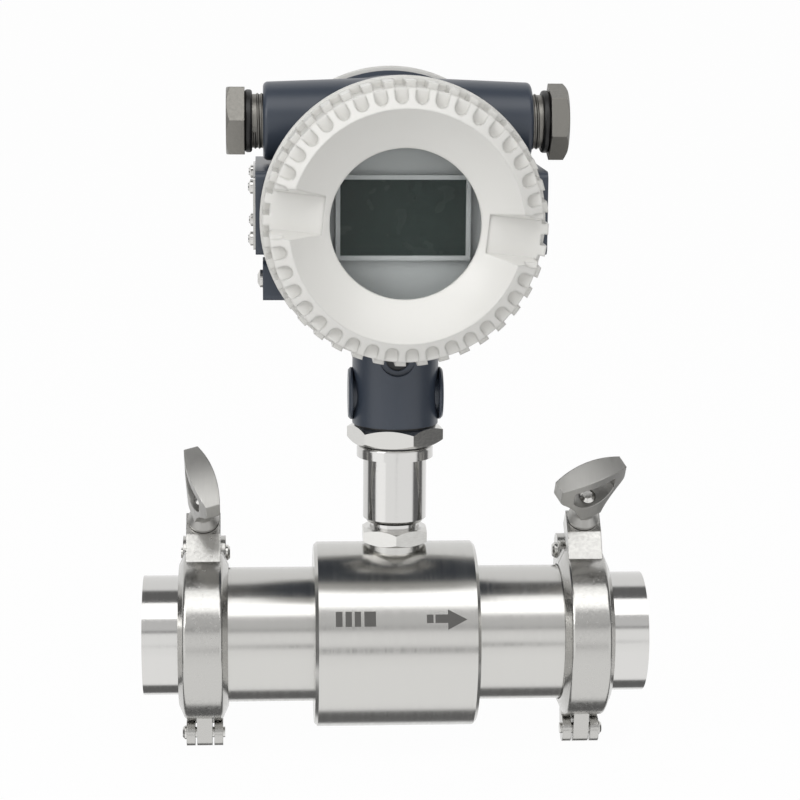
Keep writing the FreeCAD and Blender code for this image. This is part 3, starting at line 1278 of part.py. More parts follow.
def small_parts():
    middle_y = "((pad_front + pad_back) / 2)"
    middle_z = "((pad_low + pad_high) / 2)"
    near = f"{middle_y} - plate_length / 2"
    far = f"{middle_y} + plate_length / 2"
    low = f"{middle_z} - plate_height / 2"
    high = f"{middle_z} + plate_height / 2"
    plate = new_body("nameplate")
    sheet_outline = new_sketch(plate, "nameplate_outline", "YZ_Plane", f"-{PAD_REACH}")
    outline(sheet_outline, [(near, low), (far, low), (far, high), (near, high)],
            rounds={corner: "plate_round" for corner in range(4)})
    push(plate, "Pad", sheet_outline, "nameplate_sheet", "plate_thickness", backward=True)
    holes = new_sketch(plate, "nameplate_holes", "YZ_Plane", f"-{PAD_REACH}")
    for y, z in plate_screw_spots():
        round_hole(holes, y, z, "screw_d + plate_hole_play * 2")
    push(plate, "Pocket", holes, "nameplate_pierced", "plate_thickness * 2", both_ways=True)
    place(plate, NECK_X, z=HEAD_Z)
    screws = []
    for index, (y, z) in enumerate(plate_screw_spots(), start=1):
        screws.append(pan_screw(f"plate_screw_{index}", f"-{PAD_REACH} - plate_thickness", y, z,
                                "screw_head_d",
                                "screw_head", "screw_depth"))
    group("nameplate_screws", screws)
    pan_screw("earth_screw", f"-{EARTH_REACH}", "(earth_front + earth_back) / 2",
              "(earth_low + earth_high) / 2",
              "earth_screw_head_d", "earth_screw_head", "screw_depth - seal_play")
    caps = [neck_cap("left", "180"), neck_cap("right", "0")]
    group("neck_caps", caps)
    tip = "-(spigot_d / 2 + swivel_play + set_screw_gap)"
    end = "-(neck_d / 2 - set_screw_sink)"
    screw = turned("neck_set_screw", "Y", [
        (end, "0"), (tip, "0"), (tip, "lock_d / 2 - cap_break"), (f"{tip} - cap_break",
                                                                  "lock_d / 2 - press_play"),
        (end, "lock_d / 2 - press_play")])
    place(screw, NECK_X, z=f"{NECK_BOTTOM} + lock_up")
    return screws + caps


def group(name, pieces):
    """Like fasteners kept together under one name."""
    made = doc.addObject("Part::Compound", name)
    made.Label = name
    made.Links = pieces


def neck_cap(side, angle):
    """Blind cap pressed into the side of the neck: a shank in its seat and a flat head with a broken edge."""
    head_r = "cap_d / 2"
    shank_r = "(cap_d / 2 - cap_lip)"
    wall = "neck_d / 2"
    cap = turned(f"neck_cap_{side}", "X", [
        (f"{wall} - cap_depth", "0"), (f"{wall} + cap_rise", "0"), (f"{wall} + cap_rise",
                                                                    f"{head_r} - cap_break"),
        (f"{wall} + cap_rise - cap_break", head_r), (f"{wall} + press_play", head_r),
        (f"{wall} + press_play", shank_r), (f"{wall} - cap_depth", shank_r)])
    return place(cap, NECK_X, z=f"{NECK_BOTTOM} + cap_up", axis=ALONG_Z, angle=angle)


def pan_screw(name, face_x, y, z, head_d, head, depth):
    """Pan-head screw driven into a left-hand face."""
    body = turned(name, "X", [
        (f"-({head})", "0"), (depth, "0"), (depth, "screw_d / 2"), ("0", "screw_d / 2"), ("0",
                                                                                          f"{head_d} / 2"),
        ("-screw_side", f"{head_d} / 2"), (f"-({head})", f"{head_d} / 2 - screw_crown")])
    return place(body, f"{NECK_X} + ({face_x})", y, f"{HEAD_Z} + {z}")


turbine()
weld_ferrule("inlet_ferrule", INLET_CLAMP_X, "180")
weld_ferrule("outlet_ferrule", OUTLET_CLAMP_X, "0")
ring_gasket("inlet_gasket", INLET_CLAMP_X)
ring_gasket("outlet_gasket", OUTLET_CLAMP_X)
clamp("inlet", INLET_CLAMP_X, False, "inlet_nut_turn")
clamp("outlet", OUTLET_CLAMP_X, True, "outlet_nut_turn")
neck_parts()
housing()
front_cover()
rear_cover()
cover_parts()
display()
terminal_block()
cable_plug("left", True, "left_plug_turn")
cable_plug("right", False, "right_plug_turn")
grouped = small_parts()

doc.recompute()


def sub_parts():
    kinds = ("PartDesign::Body", "Part::Compound")
    return [thing for thing in doc.Objects if thing.TypeId in kinds and thing not in grouped]


failed = [thing.Label for thing in doc.Objects if "Invalid" in thing.State or "Error" in thing.State]
if failed:
    raise RuntimeError(f"these failed: {failed}")
for piece in sub_parts():
    if piece.Shape.isNull() or not piece.Shape.isValid():
        raise RuntimeError(f"{piece.Label} has no valid shape")

os.makedirs("parts", exist_ok=True)
for piece in sub_parts():
    piece.Shape.exportStep(f"parts/{piece.Label}.step")
    print(piece.Label, len(piece.Shape.Solids), round(piece.Shape.Volume, 1))
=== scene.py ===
# %% [markdown]
# # Turbine flow meter
# A meter for a sanitary 40 mm pipe line. Two clamps hold it between weld ends, a bladed wheel turns
# inside, and a painted head on a neck shows the flow. The rigid pieces come from the CAD model, and this
# script dresses them: it gives every piece its finish and adds the small forms that are too fine for CAD.

import json
import math

import bmesh
import bpy
from mathutils import Matrix, Vector


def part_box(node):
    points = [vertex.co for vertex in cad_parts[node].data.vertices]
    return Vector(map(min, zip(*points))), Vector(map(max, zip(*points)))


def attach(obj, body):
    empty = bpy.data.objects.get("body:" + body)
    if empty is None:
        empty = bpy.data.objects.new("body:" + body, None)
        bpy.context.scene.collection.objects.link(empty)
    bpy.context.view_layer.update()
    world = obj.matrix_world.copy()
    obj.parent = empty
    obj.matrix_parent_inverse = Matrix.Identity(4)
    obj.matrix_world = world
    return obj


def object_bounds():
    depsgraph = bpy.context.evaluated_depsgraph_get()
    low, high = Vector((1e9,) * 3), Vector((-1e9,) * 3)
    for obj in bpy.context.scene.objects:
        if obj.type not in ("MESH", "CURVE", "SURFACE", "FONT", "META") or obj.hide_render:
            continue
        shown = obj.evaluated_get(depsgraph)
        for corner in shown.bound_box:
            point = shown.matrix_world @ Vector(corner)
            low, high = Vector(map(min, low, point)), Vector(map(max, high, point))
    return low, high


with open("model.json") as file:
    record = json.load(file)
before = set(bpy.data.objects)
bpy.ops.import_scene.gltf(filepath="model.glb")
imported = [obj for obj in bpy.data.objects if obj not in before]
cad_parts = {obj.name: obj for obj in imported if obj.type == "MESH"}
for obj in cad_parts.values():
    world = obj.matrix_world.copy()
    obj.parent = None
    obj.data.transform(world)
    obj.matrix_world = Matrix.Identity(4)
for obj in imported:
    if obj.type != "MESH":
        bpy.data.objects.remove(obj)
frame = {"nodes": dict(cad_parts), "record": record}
cad_bounds = [list(corner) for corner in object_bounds()]
print("pieces from CAD:", len(frame["nodes"]), "box:", cad_bounds)

# %% [markdown]
# ## Measures
# Everything that is added sits on a CAD piece, so its place is read from that piece's box. If the CAD
# model changes, the added piece follows. Sizes that belong to standards, such as a thread's pitch, are
# written in millimetres.

# %% Measures taken from the CAD pieces
MM = 0.001
ALONG_X = Vector((1, 0, 0))


def box_middle(node):
    low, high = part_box(node)
    return (low + high) / 2


flow_low, flow_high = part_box("meter_body")
neck = box_middle("standpipe")
body_radius = (flow_high.y - flow_low.y) / 2
print("neck axis x:", round(neck.x, 4), "body radius:", round(body_radius, 4))

# %% [markdown]
# ## Helpers for materials
# A colour picker shows colours as sRGB hex values, but a shader works with linear light. One function
# turns the first into the second. Another adds a node, sets its inputs and links them, so that each
# material below reads as a short recipe.

# %% Colour and node helpers


def linear(code):
    """A colour such as #E4E4E0 as the linear values that a shader takes."""
    parts = [int(code[place:place + 2], 16) / 255 for place in (1, 3, 5)]
    light = [part / 12.92 if part <= 0.04045 else ((part + 0.055) / 1.055) ** 2.4 for part in parts]
    return (*light, 1.0)


def add_node(tree, kind, inputs=None, **settings):
    """Adds one node; an input may be given a value or another node's output."""
    made = tree.nodes.new("ShaderNode" + kind)
    for name, setting in settings.items():
        setattr(made, name, setting)
    for name, given in (inputs or {}).items():
        if isinstance(given, bpy.types.NodeSocket):
            tree.links.new(given, made.inputs[name])
        else:
            made.inputs[name].default_value = given
    return made


def new_finish(name, colour, roughness, metallic=0.0, **more):
    """A material with one Principled shader; more holds further sockets of that shader."""
    material = bpy.data.materials.new(name)
    material.use_nodes = True
    tree = material.node_tree
    tree.nodes.clear()
    shader = add_node(tree, "BsdfPrincipled")
    shader.inputs["Base Color"].default_value = linear(colour)
    shader.inputs["Roughness"].default_value = roughness
    shader.inputs["Metallic"].default_value = metallic
    for socket, setting in more.items():
        shader.inputs[socket.replace("_", " ")].default_value = setting
    add_node(tree, "OutputMaterial", {"Surface": shader.outputs["BSDF"]})
    return material


def find_node(material, kind):
    """The node of one kind in a material, or None."""
    return next((one for one in material.node_tree.nodes if one.type == kind), None)


def shader_of(material):
    return find_node(material, "BSDF_PRINCIPLED")


print("a mid grey becomes", [round(part, 3) for part in linear("#808080")])

# %% [markdown]
# ## Patterns
# A lathe leaves fine circles round the axis that the piece turned on. Such a pattern changes quickly
# along the axis and hardly at all round it, so a noise is squeezed along one axis. Cast and sprayed
# surfaces have round grains instead, and there the noise has the same size each way. The same noise may
# drive the roughness, or raise and sink the surface. No real edge is perfectly sharp either, so the last
# helper lets the light run round the edges of coats and castings.

# %% Roughness, grain and soft edges
NOISE_LOW, NOISE_HIGH = 0.3, 0.7  # a noise hardly leaves this part of its range
BEVEL_SAMPLES = 6


def noise_field(tree, sizes_mm, detail):
    """A noise whose features measure sizes_mm along X, Y and Z of the piece."""
    place = add_node(tree, "TexCoord")
    mapping = add_node(tree, "Mapping", {
        "Vector": place.outputs["Object"], "Scale": [1 / (size * MM) for size in sizes_mm]})
    return add_node(tree, "TexNoise", {"Vector": mapping.outputs["Vector"], "Scale": 1.0, "Detail": detail})


def roughen(material, sizes_mm, low, high, detail=2.0):
    """Lets the roughness wander between low and high."""
    tree = material.node_tree
    field = noise_field(tree, sizes_mm, detail)
    values = add_node(tree, "MapRange", {
        "Value": field.outputs["Fac"], "From Min": NOISE_LOW, "From Max": NOISE_HIGH,
        "To Min": low, "To Max": high})
    tree.links.new(values.outputs["Result"], shader_of(material).inputs["Roughness"])


def emboss(material, sizes_mm, depth_mm, detail=2.0):
    """Raises and sinks the surface by a noise, without moving the mesh."""
    tree = material.node_tree
    field = noise_field(tree, sizes_mm, detail)
    bump = add_node(tree, "Bump", {
        "Height": field.outputs["Fac"], "Distance": depth_mm * MM, "Strength": 1.0})
    tree.links.new(bump.outputs["Normal"], shader_of(material).inputs["Normal"])


def soften(material, radius_mm):
    """Lets light run round the edges; it comes after emboss, whose grain then sits on the round."""
    tree = material.node_tree
    rounded = add_node(tree, "Bevel", {"Radius": radius_mm * MM}, samples=BEVEL_SAMPLES)
    top = find_node(material, "BUMP") or shader_of(material)
    tree.links.new(rounded.outputs["Normal"], top.inputs["Normal"])


print("noise values used:", NOISE_LOW, "to", NOISE_HIGH)

# %% [markdown]
# ## Stainless steel, turned
# The body and the weld ends are turned from stainless bar. Light stretches across the fine circles, so
# the steel looks satin, with bright and dark bands along the pipe. The real lines are about 0.05 mm
# apart; they are drawn at 0.25 mm, because finer ones would be lost in the picture.

# %% Turned and polished stainless steel
# Bar turned on a lathe: satin, with a soft stretched shine. Its lines are too fine to show, see above.
turned_steel = new_finish("turned_stainless_steel", "#C4C3C0", 0.2, 1.0)
roughen(turned_steel, (0.25, 60.0, 60.0), 0.16, 0.25)
emboss(turned_steel, (0.25, 40.0, 40.0), 0.0012)
# Weld ends, turned and then polished with a felt wheel: nearly a mirror.
polished_steel = new_finish("polished_stainless_steel", "#CCCBC9", 0.14, 1.0)
roughen(polished_steel, (0.3, 60.0, 60.0), 0.10, 0.18)
# The neck's pipe is polished the same way, but it turned on an upright axis.
upright_steel = new_finish("polished_stainless_neck", "#CCCBC9", 0.14, 1.0)
roughen(upright_steel, (60.0, 60.0, 0.3), 0.09, 0.17)
# Nuts, pins and screws come bright from the machine, with faint tool marks.
bright_steel = new_finish("machined_stainless_steel", "#CFCECB", 0.20, 1.0)
roughen(bright_steel, (2.0, 2.0, 0.4), 0.15, 0.26)
print("steels:", turned_steel.name, polished_steel.name, upright_steel.name, bright_steel.name)

# %% [markdown]
# ## Cast stainless steel and plated brass
# The clamps and their wing nuts are cast. The clamps are tumbled in a drum with small stones, which
# leaves a bright surface with shallow dents that break up the reflections. The wing nuts are brushed
# instead and look duller. The cable plugs are brass under a nickel plate that has gone matt and warm.
# The dents and the grain of the plate are drawn at their real 0.6 to 1.6 mm.

# %% Cast steel and nickel plate
# Tumbled casting: bright, with reflections that break up.
cast_steel = new_finish("tumbled_cast_steel", "#B9B8B5", 0.26, 1.0)
roughen(cast_steel, (1.2, 1.2, 1.2), 0.16, 0.28, 3.0)
emboss(cast_steel, (1.6, 1.6, 1.6), 0.006)
soften(cast_steel, 0.5)
# Brushed casting: a dull sheen. The strokes are really 0.1 mm apart and drawn at 0.25 mm to show.
brushed_cast = new_finish("brushed_cast_steel", "#ABAAA7", 0.42, 1.0)
roughen(brushed_cast, (0.25, 6.0, 6.0), 0.34, 0.5)
soften(brushed_cast, 0.5)
# Nickel plate on brass: matt, a little brown.
nickel = new_finish("nickel_plated_brass", "#84827D", 0.42, 1.0)
roughen(nickel, (0.8, 0.8, 0.8), 0.36, 0.5, 3.0)
emboss(nickel, (0.6, 0.6, 0.6), 0.012, 3.0)
soften(nickel, 0.4)
print("cast and plated:", cast_steel.name, brushed_cast.name, nickel.name)

# %% [markdown]
# ## Powder coat
# The head is cast aluminium under powder coat, navy on the housing and off-white on the covers. Baked
# powder flows into gentle waves of one to two millimetres, which painters call orange peel. They are so
# shallow that they only ripple the reflections. The coat also flows over the edges and rounds them, more
# on the thick ivory coat than on the navy one.

# %% Powder coats
navy_coat = new_finish("navy_powder_coat", "#363D48", 0.34, IOR=1.5)
emboss(navy_coat, (1.4, 1.4, 1.4), 0.02)
soften(navy_coat, 0.6)
ivory_coat = new_finish("off_white_powder_coat", "#D8D7D3", 0.3, IOR=1.5)
emboss(ivory_coat, (2.2, 2.2, 2.2), 0.02)
soften(ivory_coat, 1.2)
print("coats:", navy_coat.name, ivory_coat.name)

# %% [markdown]
# ## Glass, rubber and plastics
# The window is clear float glass. Rays of light that would only cast a shadow pass straight through it,
# because a path tracer has trouble finding lamps through glass, and the display would turn black. The
# sealing rings are black nitrile rubber, the pipe's gaskets white silicone. The face behind the glass is
# moulded polycarbonate with a dark liquid crystal panel, and behind it sit the board, the terminals and
# the pickup's coil in its resin. Moulds leave a fine grain of about a millimetre on all of them.

# %% Glass
window_clear = new_finish("float_glass", "#FFFFFF", 0.0, Transmission_Weight=1.0, IOR=1.45)
glass_tree = window_clear.node_tree
ray = add_node(glass_tree, "LightPath")
through = add_node(glass_tree, "BsdfTransparent")
either = add_node(glass_tree, "MixShader", {
    0: ray.outputs["Is Shadow Ray"], 1: shader_of(window_clear).outputs["BSDF"], 2: through.outputs["BSDF"]})
glass_out = find_node(window_clear, "OUTPUT_MATERIAL")
glass_tree.links.new(either.outputs["Shader"], glass_out.inputs["Surface"])
print("glass:", window_clear.name)

# %% Rubber and plastics
nitrile = new_finish("nitrile_rubber", "#141414", 0.42)
silicone = new_finish("white_silicone", "#E4E4DF", 0.5)
polycarbonate = new_finish("grey_polycarbonate", "#C6CBCA", 0.45)
crystal = new_finish("liquid_crystal_panel", "#2A3632", 0.3, Specular_IOR_Level=0.2)
solder_mask = new_finish("green_circuit_board", "#14502E", 0.35)
polyamide = new_finish("grey_polyamide", "#3E4243", 0.5)
resin = new_finish("potting_resin", "#1C1C1E", 0.35)
moulded_grain_depth = 0.006
for plastic, grain in ((nitrile, 1.0), (silicone, 1.5), (polycarbonate, 0.6), (polyamide, 0.8), (resin, 3.0)):
    emboss(plastic, (grain, grain, grain), moulded_grain_depth)
roughen(crystal, (8.0, 8.0, 8.0), 0.2, 0.3)
roughen(solder_mask, (3.0, 3.0, 3.0), 0.3, 0.45)
print("soft and moulded:", nitrile.name, silicone.name, polycarbonate.name, crystal.name)

# %% [markdown]
# ## Other metals
# The nameplate is brushed sheet, with lines that run along it. The rotor is ferritic steel, which a
# magnet can sense, and the shaft runs in tungsten carbide, which is much darker than steel. The small set
# screw in the neck is blackened steel, so it looks like a dark plastic rather than a metal.

# %% Brushed sheet, rotor steel and carbide
brushed_sheet = new_finish("brushed_stainless_sheet", "#BEBDBA", 0.35, 1.0)
roughen(brushed_sheet, (30.0, 30.0, 0.2), 0.26, 0.46)
rotor_steel = new_finish("ferritic_rotor_steel", "#A8AAAC", 0.28, 1.0)
roughen(rotor_steel, (0.5, 0.5, 0.5), 0.22, 0.36)
black_oxide = new_finish("black_oxide_steel", "#17171A", 0.4)
carbide = new_finish("ground_tungsten_carbide", "#6B6B6E", 0.25, 1.0)
roughen(carbide, (0.4, 0.4, 0.4), 0.2, 0.32)
print("other metals:", brushed_sheet.name, rotor_steel.name, carbide.name)

# %% [markdown]
# ## Dressing the pieces
# Each CAD piece carries the name of its material slot from the record. The list below gives every slot
# its finish, and a few pieces get one of their own, since the same steel is turned on one piece and
# polished on another.

# %% Finish of every slot and of single pieces
finish_of_slot = {
    "stainless_turned": turned_steel, "stainless_cast": cast_steel, "stainless_bright": bright_steel,
    "nickel_plugs": nickel, "navy_paint": navy_coat, "ivory_paint": ivory_coat, "window_glass": window_clear,
    "black_rubber": nitrile, "white_seal": silicone, "face_grey": polycarbonate, "lcd_dark": crystal,
    "board_green": solder_mask, "terminal_grey": polyamide, "name_steel": brushed_sheet,
    "magnetic_steel": rotor_steel, "carbide": carbide, "coil_resin": resin}
finish_of_piece = {
    "inlet_ferrule": polished_steel, "outlet_ferrule": polished_steel, "standpipe": upright_steel,
    "inlet_wing_nut": brushed_cast, "outlet_wing_nut": brushed_cast, "neck_set_screw": black_oxide}
slot_of_piece = {part["node"]: part["material_slot"] for part in frame["record"]["subparts"]}


def dress(piece, finish):
    piece.data.materials.clear()
    piece.data.materials.append(finish)


for name, piece in frame["nodes"].items():
    dress(piece, finish_of_piece.get(name, finish_of_slot[slot_of_piece[name]]))
print("dressed:", len(slot_of_piece), "pieces")

# %% [markdown]
# ## Screw threads
# A thread is a V-shaped ridge that climbs round a rod. A spin does this when it also moves a little
# along its axis at every step. The cable plugs show three turns of their M20 thread, 1.5 mm apart,
# between the painted tube and the sealing ring.

# %% Thread helper
STEPS_IN_A_TURN = 40
ROOT_START, CREST_START = 0.08, 0.44  # the V's flanks, as shares of the pitch
MERGE_DISTANCE = 0.002 * MM


def object_from(mesh_tool, name, finish, body):
    """Turns a bmesh into a piece that moves with one CAD body."""
    bmesh.ops.remove_doubles(mesh_tool, verts=mesh_tool.verts, dist=MERGE_DISTANCE)
    bmesh.ops.recalc_face_normals(mesh_tool, faces=mesh_tool.faces)
    mesh = bpy.data.meshes.new(name)
    mesh_tool.to_mesh(mesh)
    mesh_tool.free()
    made = bpy.data.objects.new(name, mesh)
    bpy.context.collection.objects.link(made)
    made.data.materials.append(finish)
    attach(made, body)
    return made


def thread(name, start, axis, length, core, crest, pitch, finish, body):
    """A ridge that climbs along axis from start, from the core's radius up to the crest's."""
    tool = bmesh.new()
    side = axis.orthogonal().normalized()
    outline = ((ROOT_START, core), (CREST_START, crest), (1 - CREST_START, crest), (1 - ROOT_START, core))
    corners = [tool.verts.new(start + axis * along * pitch + side * radius) for along, radius in outline]
    ends = [tool.edges.new(pair) for pair in zip(corners, corners[1:] + corners[:1])]
    face = tool.faces.new(corners)
    turns = length / pitch
    steps = round(turns * STEPS_IN_A_TURN)
    bmesh.ops.spin(tool, geom=[face] + ends + corners, cent=start, axis=axis, angle=turns * 2 * math.pi,
                   dvec=axis * (length / steps), steps=steps, use_merge=False)
    return object_from(tool, name, finish, body)


print("thread steps in a turn:", STEPS_IN_A_TURN)

# %% Threads of the cable plugs
plug_pitch = 1.5 * MM
plug_crest = 10.0 * MM
plug_core = 9.55 * MM
ridge_length = 4.6 * MM
ridge_back = 6.2 * MM  # how far before the sealing ring the ridge starts, inside the tube
for side, outward in (("left", -1), ("right", 1)):
    low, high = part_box(side + "_plug_seal")
    middle = box_middle(side + "_plug_seal")
    axis = ALONG_X * outward
    inner_face = high.x if outward < 0 else low.x
    start = Vector((inner_face, middle.y, middle.z)) - axis * ridge_back
    made = thread(side + "_plug_thread", start, axis, ridge_length, plug_core, plug_crest, plug_pitch,
                  nickel, side + "_plug")
    print(made.name, "faces:", len(made.data.polygons))

# %% [markdown]
# ## Recesses of the screws
# The four screws of the nameplate and the earth screw have a cross recess, and the set screw in the neck
# has a hexagon socket. Seen from outside each is a dark figure on the head, the shade inside the hollow,
# so a thin form painted with that shade stands 0.03 mm proud of the metal and reaches down into it.

# %% Cross recesses and the hexagon socket
# Painted shade: the recesses and the socket are hollows that hold shade, and this dark colour stands in for
# it.
recess_painted_shade = new_finish("recess_shadow", "#141414", 0.7)
roughen(recess_painted_shade, (1.0, 1.0, 1.0), 0.6, 0.8)
PROUD = 0.03 * MM
SINK = 0.12 * MM
depth = PROUD + SINK
to_middle = (SINK - PROUD) / 2


def cross_recess(name, tip_x, middles, reach, width):
    """A dark cross on each screw head of the head's left side; the middles are places in Y and Z."""
    tool = bmesh.new()
    for middle_y, middle_z in middles:
        for size_y, size_z in ((reach, width), (width, reach)):
            bar = bmesh.ops.create_cube(tool, size=1.0)["verts"]
            bmesh.ops.scale(tool, verts=bar, vec=(depth, size_y, size_z))
            bmesh.ops.translate(tool, verts=bar, vec=(tip_x + to_middle, middle_y, middle_z))
    return object_from(tool, name, recess_painted_shade, "head")


plate_low, plate_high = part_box("nameplate_screws")
head_radius = 2.5 * MM
plate_middles = [(y, z) for y in (plate_low.y + head_radius, plate_high.y - head_radius)
                 for z in (plate_low.z + head_radius, plate_high.z - head_radius)]
plate_crosses = cross_recess("plate_screw_recesses", plate_low.x, plate_middles, 2.6 * MM, 0.6 * MM)
earth_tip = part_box("earth_screw")[0].x
earth = box_middle("earth_screw")
earth_cross = cross_recess("earth_screw_recess", earth_tip, [(earth.y, earth.z)], 3.0 * MM, 0.7 * MM)
set_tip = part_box("neck_set_screw")[0].y
set_middle = box_middle("neck_set_screw")
socket_radius = 2.3 * MM
socket_tool = bmesh.new()
bmesh.ops.create_cone(socket_tool, cap_ends=True, segments=6, radius1=socket_radius, radius2=socket_radius,
                      depth=depth, matrix=Matrix.Rotation(math.radians(90), 4, "X"))
bmesh.ops.translate(socket_tool, verts=socket_tool.verts,
                    vec=(set_middle.x, set_tip + to_middle, set_middle.z))
hex_socket = object_from(socket_tool, "set_screw_socket", recess_painted_shade, "head")
print("recesses:", plate_crosses.name, earth_cross.name, hex_socket.name)

# %% [markdown]
# ## The flow mark
# A bar pattern and an arrow are etched into the body and show which way the liquid must run. Etched
# steel is matt and dark. The mark is cut from a flat strip that is bent round the body, 0.02 mm above
# the steel, like a film.

# %% Etched flow arrow
etched_steel = new_finish("etched_stainless_steel", "#5E5D5B", 0.6, 0.6)
emboss(etched_steel, (0.3, 0.3, 0.3), 0.01)
mark_radius = body_radius + 0.02 * MM
STRIP_CUTS = 3


def wrap_on_body(tool):
    """Bends a flat strip, drawn in X and Z in front of the body, round the body's axis."""
    bmesh.ops.subdivide_edges(tool, edges=tool.edges, cuts=STRIP_CUTS, use_grid_fill=True)
    for vert in tool.verts:
        angle = vert.co.z / mark_radius
        vert.co.y = -mark_radius * math.cos(angle)
        vert.co.z = mark_radius * math.sin(angle)


def mark_face(tool, corners_mm):
    """One flat face of the mark, in millimetres from the neck's axis and up the body's front."""
    verts = [tool.verts.new(Vector((neck.x + x * MM, 0, z * MM))) for x, z in corners_mm]
    tool.faces.new(verts)


bars = ((-22.7, -20.3), (-19.2, -16.9), (-15.9, -13.6), (-12.4, -8.2))
bar_heights = (11.8, 17.3)
shaft_pieces = ((10.2, 12.6), (13.3, 17.9))
shaft_heights = (12.9, 16.0)
arrow_head = ((17.9, 10.4), (24.9, 14.1), (17.9, 17.8))
mark = bmesh.new()
for strips, (foot, top) in ((bars, bar_heights), (shaft_pieces, shaft_heights)):
    for left, right in strips:
        mark_face(mark, ((left, foot), (right, foot), (right, top), (left, top)))
mark_face(mark, arrow_head)
wrap_on_body(mark)
flow_mark = object_from(mark, "flow_mark", etched_steel, "root")
print("flow mark faces:", len(flow_mark.data.polygons))

# %% [markdown]
# ## Studio floor
# The meter stands on white paper. A camera should see the paper as pure white and still catch the
# meter's shadow on it, so most of what the camera sees is a glow and the rest is lit paper. Mirror rays
# pass through the paper, because the steel is to reflect the room that the next cell builds. Shadow rays
# pass too, or the paper would cut off the light that the room sends from below.

# %% Floor
FLOOR_REACH = 30.0
FLOOR_GAP = 0.2 * MM
GLOW_SHARE = 0.97
floor_height = cad_bounds[0][2] - FLOOR_GAP
floor_tool = bmesh.new()
bmesh.ops.create_grid(floor_tool, x_segments=1, y_segments=1, size=FLOOR_REACH)
bmesh.ops.translate(floor_tool, verts=floor_tool.verts, vec=(0, 0, floor_height))
floor_mesh = bpy.data.meshes.new("studio_floor")
floor_tool.to_mesh(floor_mesh)
floor_tool.free()
floor = bpy.data.objects.new("studio_floor", floor_mesh)
bpy.context.collection.objects.link(floor)
paper = new_finish("white_backdrop_paper", "#E8E8E8", 0.9)
paper_tree = paper.node_tree
glow = add_node(paper_tree, "Emission", {"Color": (1, 1, 1, 1), "Strength": 1.0})
clear = add_node(paper_tree, "BsdfTransparent")
paper_ray = add_node(paper_tree, "LightPath").outputs
passing = add_node(paper_tree, "Math", {
    0: paper_ray["Is Glossy Ray"], 1: paper_ray["Is Shadow Ray"]}, operation="MAXIMUM")
seen = add_node(paper_tree, "Math", {
    0: paper_ray["Is Camera Ray"], 1: paper_ray["Is Transmission Ray"]}, operation="MAXIMUM")
share = add_node(paper_tree, "Math", {0: seen.outputs["Value"], 1: GLOW_SHARE}, operation="MULTIPLY")
lit = add_node(paper_tree, "MixShader", {
    0: share.outputs["Value"], 1: shader_of(paper).outputs["BSDF"], 2: glow.outputs["Emission"]})
open_paper = add_node(paper_tree, "MixShader", {
    0: passing.outputs["Value"], 1: lit.outputs["Shader"], 2: clear.outputs["BSDF"]})
paper_out = find_node(paper, "OUTPUT_MATERIAL")
paper_tree.links.new(open_paper.outputs["Shader"], paper_out.inputs["Surface"])
floor.data.materials.append(paper)
print("floor at", round(floor_height, 4))

# %% [markdown]
# ## Room that the steel reflects
# Polished steel only shows what is around it, so a photographer builds the room for it: a pale backdrop
# behind, dark gaps at the sides, white boards in front with one dark strip between them, a white table
# below and a bright window on the left. The dark places between the bright ones are what makes steel
# look like steel. A small dark patch lies where the flat window glass looks, or the display would be
# veiled. The room is painted into the world by direction, and each soft edge below is one step between
# two tones. The camera itself sees a plain white background.

# %% Directions and tones of the room
ROOM_STRENGTH = 1.15
BACKDROP_LEAN = 0.45  # how far the backdrop comes forward below the horizon
WINDOW_DIRECTION = (-0.82, -0.57, 0.0)
GLASS_DIRECTION = (0.061, -0.993, -0.105)
world = bpy.context.scene.world or bpy.data.worlds.new("studio_room")
bpy.context.scene.world = world
world.use_nodes = True
room = world.node_tree
room.nodes.clear()
toward = add_node(room, "TexCoord").outputs["Generated"]
parts = add_node(room, "SeparateXYZ", {"Vector": toward}).outputs
sunk = add_node(room, "Math", {0: parts["Z"], 1: 0.0}, operation="MINIMUM")
lowered = add_node(room, "Math", {0: sunk.outputs["Value"], 1: BACKDROP_LEAN}, operation="MULTIPLY")
behind = add_node(room, "Math", {0: parts["Y"], 1: lowered.outputs["Value"]}, operation="ADD")
to_window = add_node(room, "VectorMath", {0: toward, 1: WINDOW_DIRECTION}, operation="DOT_PRODUCT")
to_glass = add_node(room, "VectorMath", {0: toward, 1: GLASS_DIRECTION}, operation="DOT_PRODUCT")
# each edge: what is measured, where the step starts and ends, and the tones before and after it
soft_edges = {
    "backdrop": (behind.outputs["Value"], 0.28, 0.42, 0.14, 0.86),
    "viewer's half": (parts["Y"], -0.3, -0.44, 0.0, 1.0),
    "table below": (parts["Z"], -0.3, -0.42, 0.0, 1.0),
    "table's back": (parts["Y"], 0.2, 0.05, 0.0, 1.0),
    "window": (to_window.outputs["Value"], 0.88, 0.93, 0.0, 1.15),
    "glass patch": (to_glass.outputs["Value"], 0.9972, 0.9984, 1.0, 0.15)}
edge = {}
for name, (measured, start, end, before, after) in soft_edges.items():
    edge[name] = add_node(room, "MapRange", {
        "Value": measured, "From Min": start, "From Max": end, "To Min": before, "To Max": after},
        interpolation_type="SMOOTHSTEP").outputs["Result"]
print("soft edges:", ", ".join(edge))

# %% Boards on the viewer's side
# each stop: a height from 0, straight down, to 1, straight up, and the grey there
board_stops = ((0.0, 1.0), (0.645, 0.95), (0.675, 0.32), (0.69, 0.32), (0.71, 0.66), (1.0, 0.55))
heights = add_node(room, "MapRange", {
    "Value": parts["Z"], "From Min": -1.0, "From Max": 1.0, "To Min": 0.0, "To Max": 1.0})
boards = add_node(room, "ValToRGB", {"Fac": heights.outputs["Result"]})
greys = boards.color_ramp.elements
for place, _ in board_stops[1:-1]:
    greys.new(place)
for grey, (place, tone) in zip(greys, board_stops):
    grey.position = place
    grey.color = (tone, tone, tone, 1.0)
print("board stops:", len(greys))

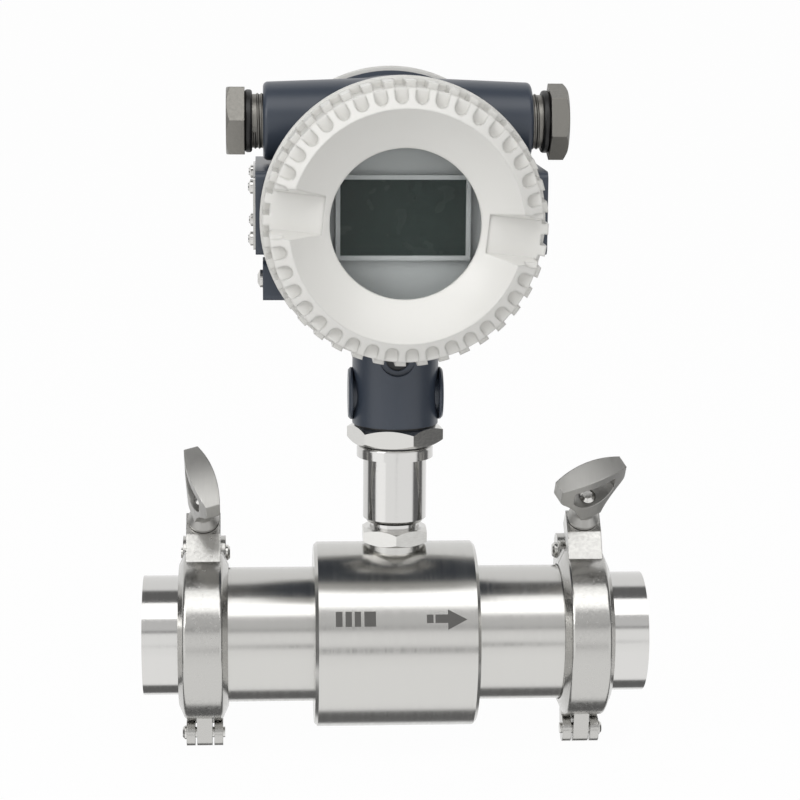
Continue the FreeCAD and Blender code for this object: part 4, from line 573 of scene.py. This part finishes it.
# %% The room put together
round_about = add_node(room, "Mix", {
    0: edge["viewer's half"], 2: edge["backdrop"], 3: boards.outputs["Color"]})
table = add_node(room, "Math", {0: edge["table below"], 1: edge["table's back"]}, operation="MULTIPLY")
with_table = add_node(room, "Math", {
    0: round_about.outputs["Result"], 1: table.outputs["Value"]}, operation="MAXIMUM")
with_window = add_node(room, "Math", {
    0: with_table.outputs["Value"], 1: edge["window"]}, operation="MAXIMUM")
room_tone = add_node(room, "Math", {
    0: with_window.outputs["Value"], 1: edge["glass patch"]}, operation="MULTIPLY")
room_light = add_node(room, "Background", {"Color": room_tone.outputs["Value"], "Strength": ROOM_STRENGTH})
room_seen = add_node(room, "Background", {"Color": (1, 1, 1, 1), "Strength": 1.0})
room_ray = add_node(room, "LightPath")
room_mix = add_node(room, "MixShader", {
    0: room_ray.outputs["Is Camera Ray"], 1: room_light.outputs["Background"],
    2: room_seen.outputs["Background"]})
add_node(room, "OutputWorld", {"Surface": room_mix.outputs["Shader"]})
print("world nodes:", len(room.nodes))

# %% [markdown]
# ## Lamps
# The room alone would light the meter evenly from everywhere. Two area lamps act as softboxes and model
# its forms: a wide one high in front of it, and a small one at the front left, which draws a highlight
# on the covers. Each is turned to face the meter.

# %% Softboxes
aim = (neck.x, 0.0, 0.1)
softboxes = (("front_softbox", (neck.x, -0.58, 1.14), (1.6, 0.76), 6.5),
             ("left_softbox", (-0.75, -0.75, 0.75), (0.5, 0.5), 3.0))
for name, place, (across, upright), power in softboxes:
    light = bpy.data.lights.new(name, "AREA")
    light.shape = "RECTANGLE"
    light.size = across
    light.size_y = upright
    light.energy = power
    lamp = bpy.data.objects.new(name, light)
    bpy.context.collection.objects.link(lamp)
    lamp.location = place
    lamp.rotation_euler = (Vector(aim) - Vector(place)).to_track_quat("-Z", "Y").to_euler()
    print("lamp:", name, "watts:", power)

# %% [markdown]
# ## Camera
# The camera stands a little left of the neck and looks slightly down, from about 0.85 m. A long lens
# keeps the pipe's edges nearly parallel. Its place and lens were found by lining up the pipe ends, the
# neck and the cover's rings with the picture of the real meter.

# %% Camera
camera_place_mm = Vector((43.5, -850.5, 243.7))
yaw, pitch, roll = math.radians(3.46), math.radians(10.31), math.radians(0.39)
camera_data = bpy.data.cameras.new("product_camera")
camera_data.sensor_width = 36.0
camera_data.lens = 105.75
camera = bpy.data.objects.new("product_camera", camera_data)
bpy.context.collection.objects.link(camera)
forward = Vector((math.sin(yaw) * math.cos(pitch), math.cos(yaw) * math.cos(pitch), -math.sin(pitch)))
level_right = Vector((math.cos(yaw), -math.sin(yaw), 0.0))
level_up = level_right.cross(forward)
right = level_right * math.cos(roll) + level_up * math.sin(roll)
up = level_up * math.cos(roll) - level_right * math.sin(roll)
turn = Matrix((right, up, -forward)).transposed().to_4x4()
camera.matrix_world = Matrix.Translation(camera_place_mm * MM) @ turn
bpy.context.scene.camera = camera
bpy.context.scene.view_settings.view_transform = "Standard"
print("camera:", [round(part, 4) for part in camera.location], "lens:", camera_data.lens)
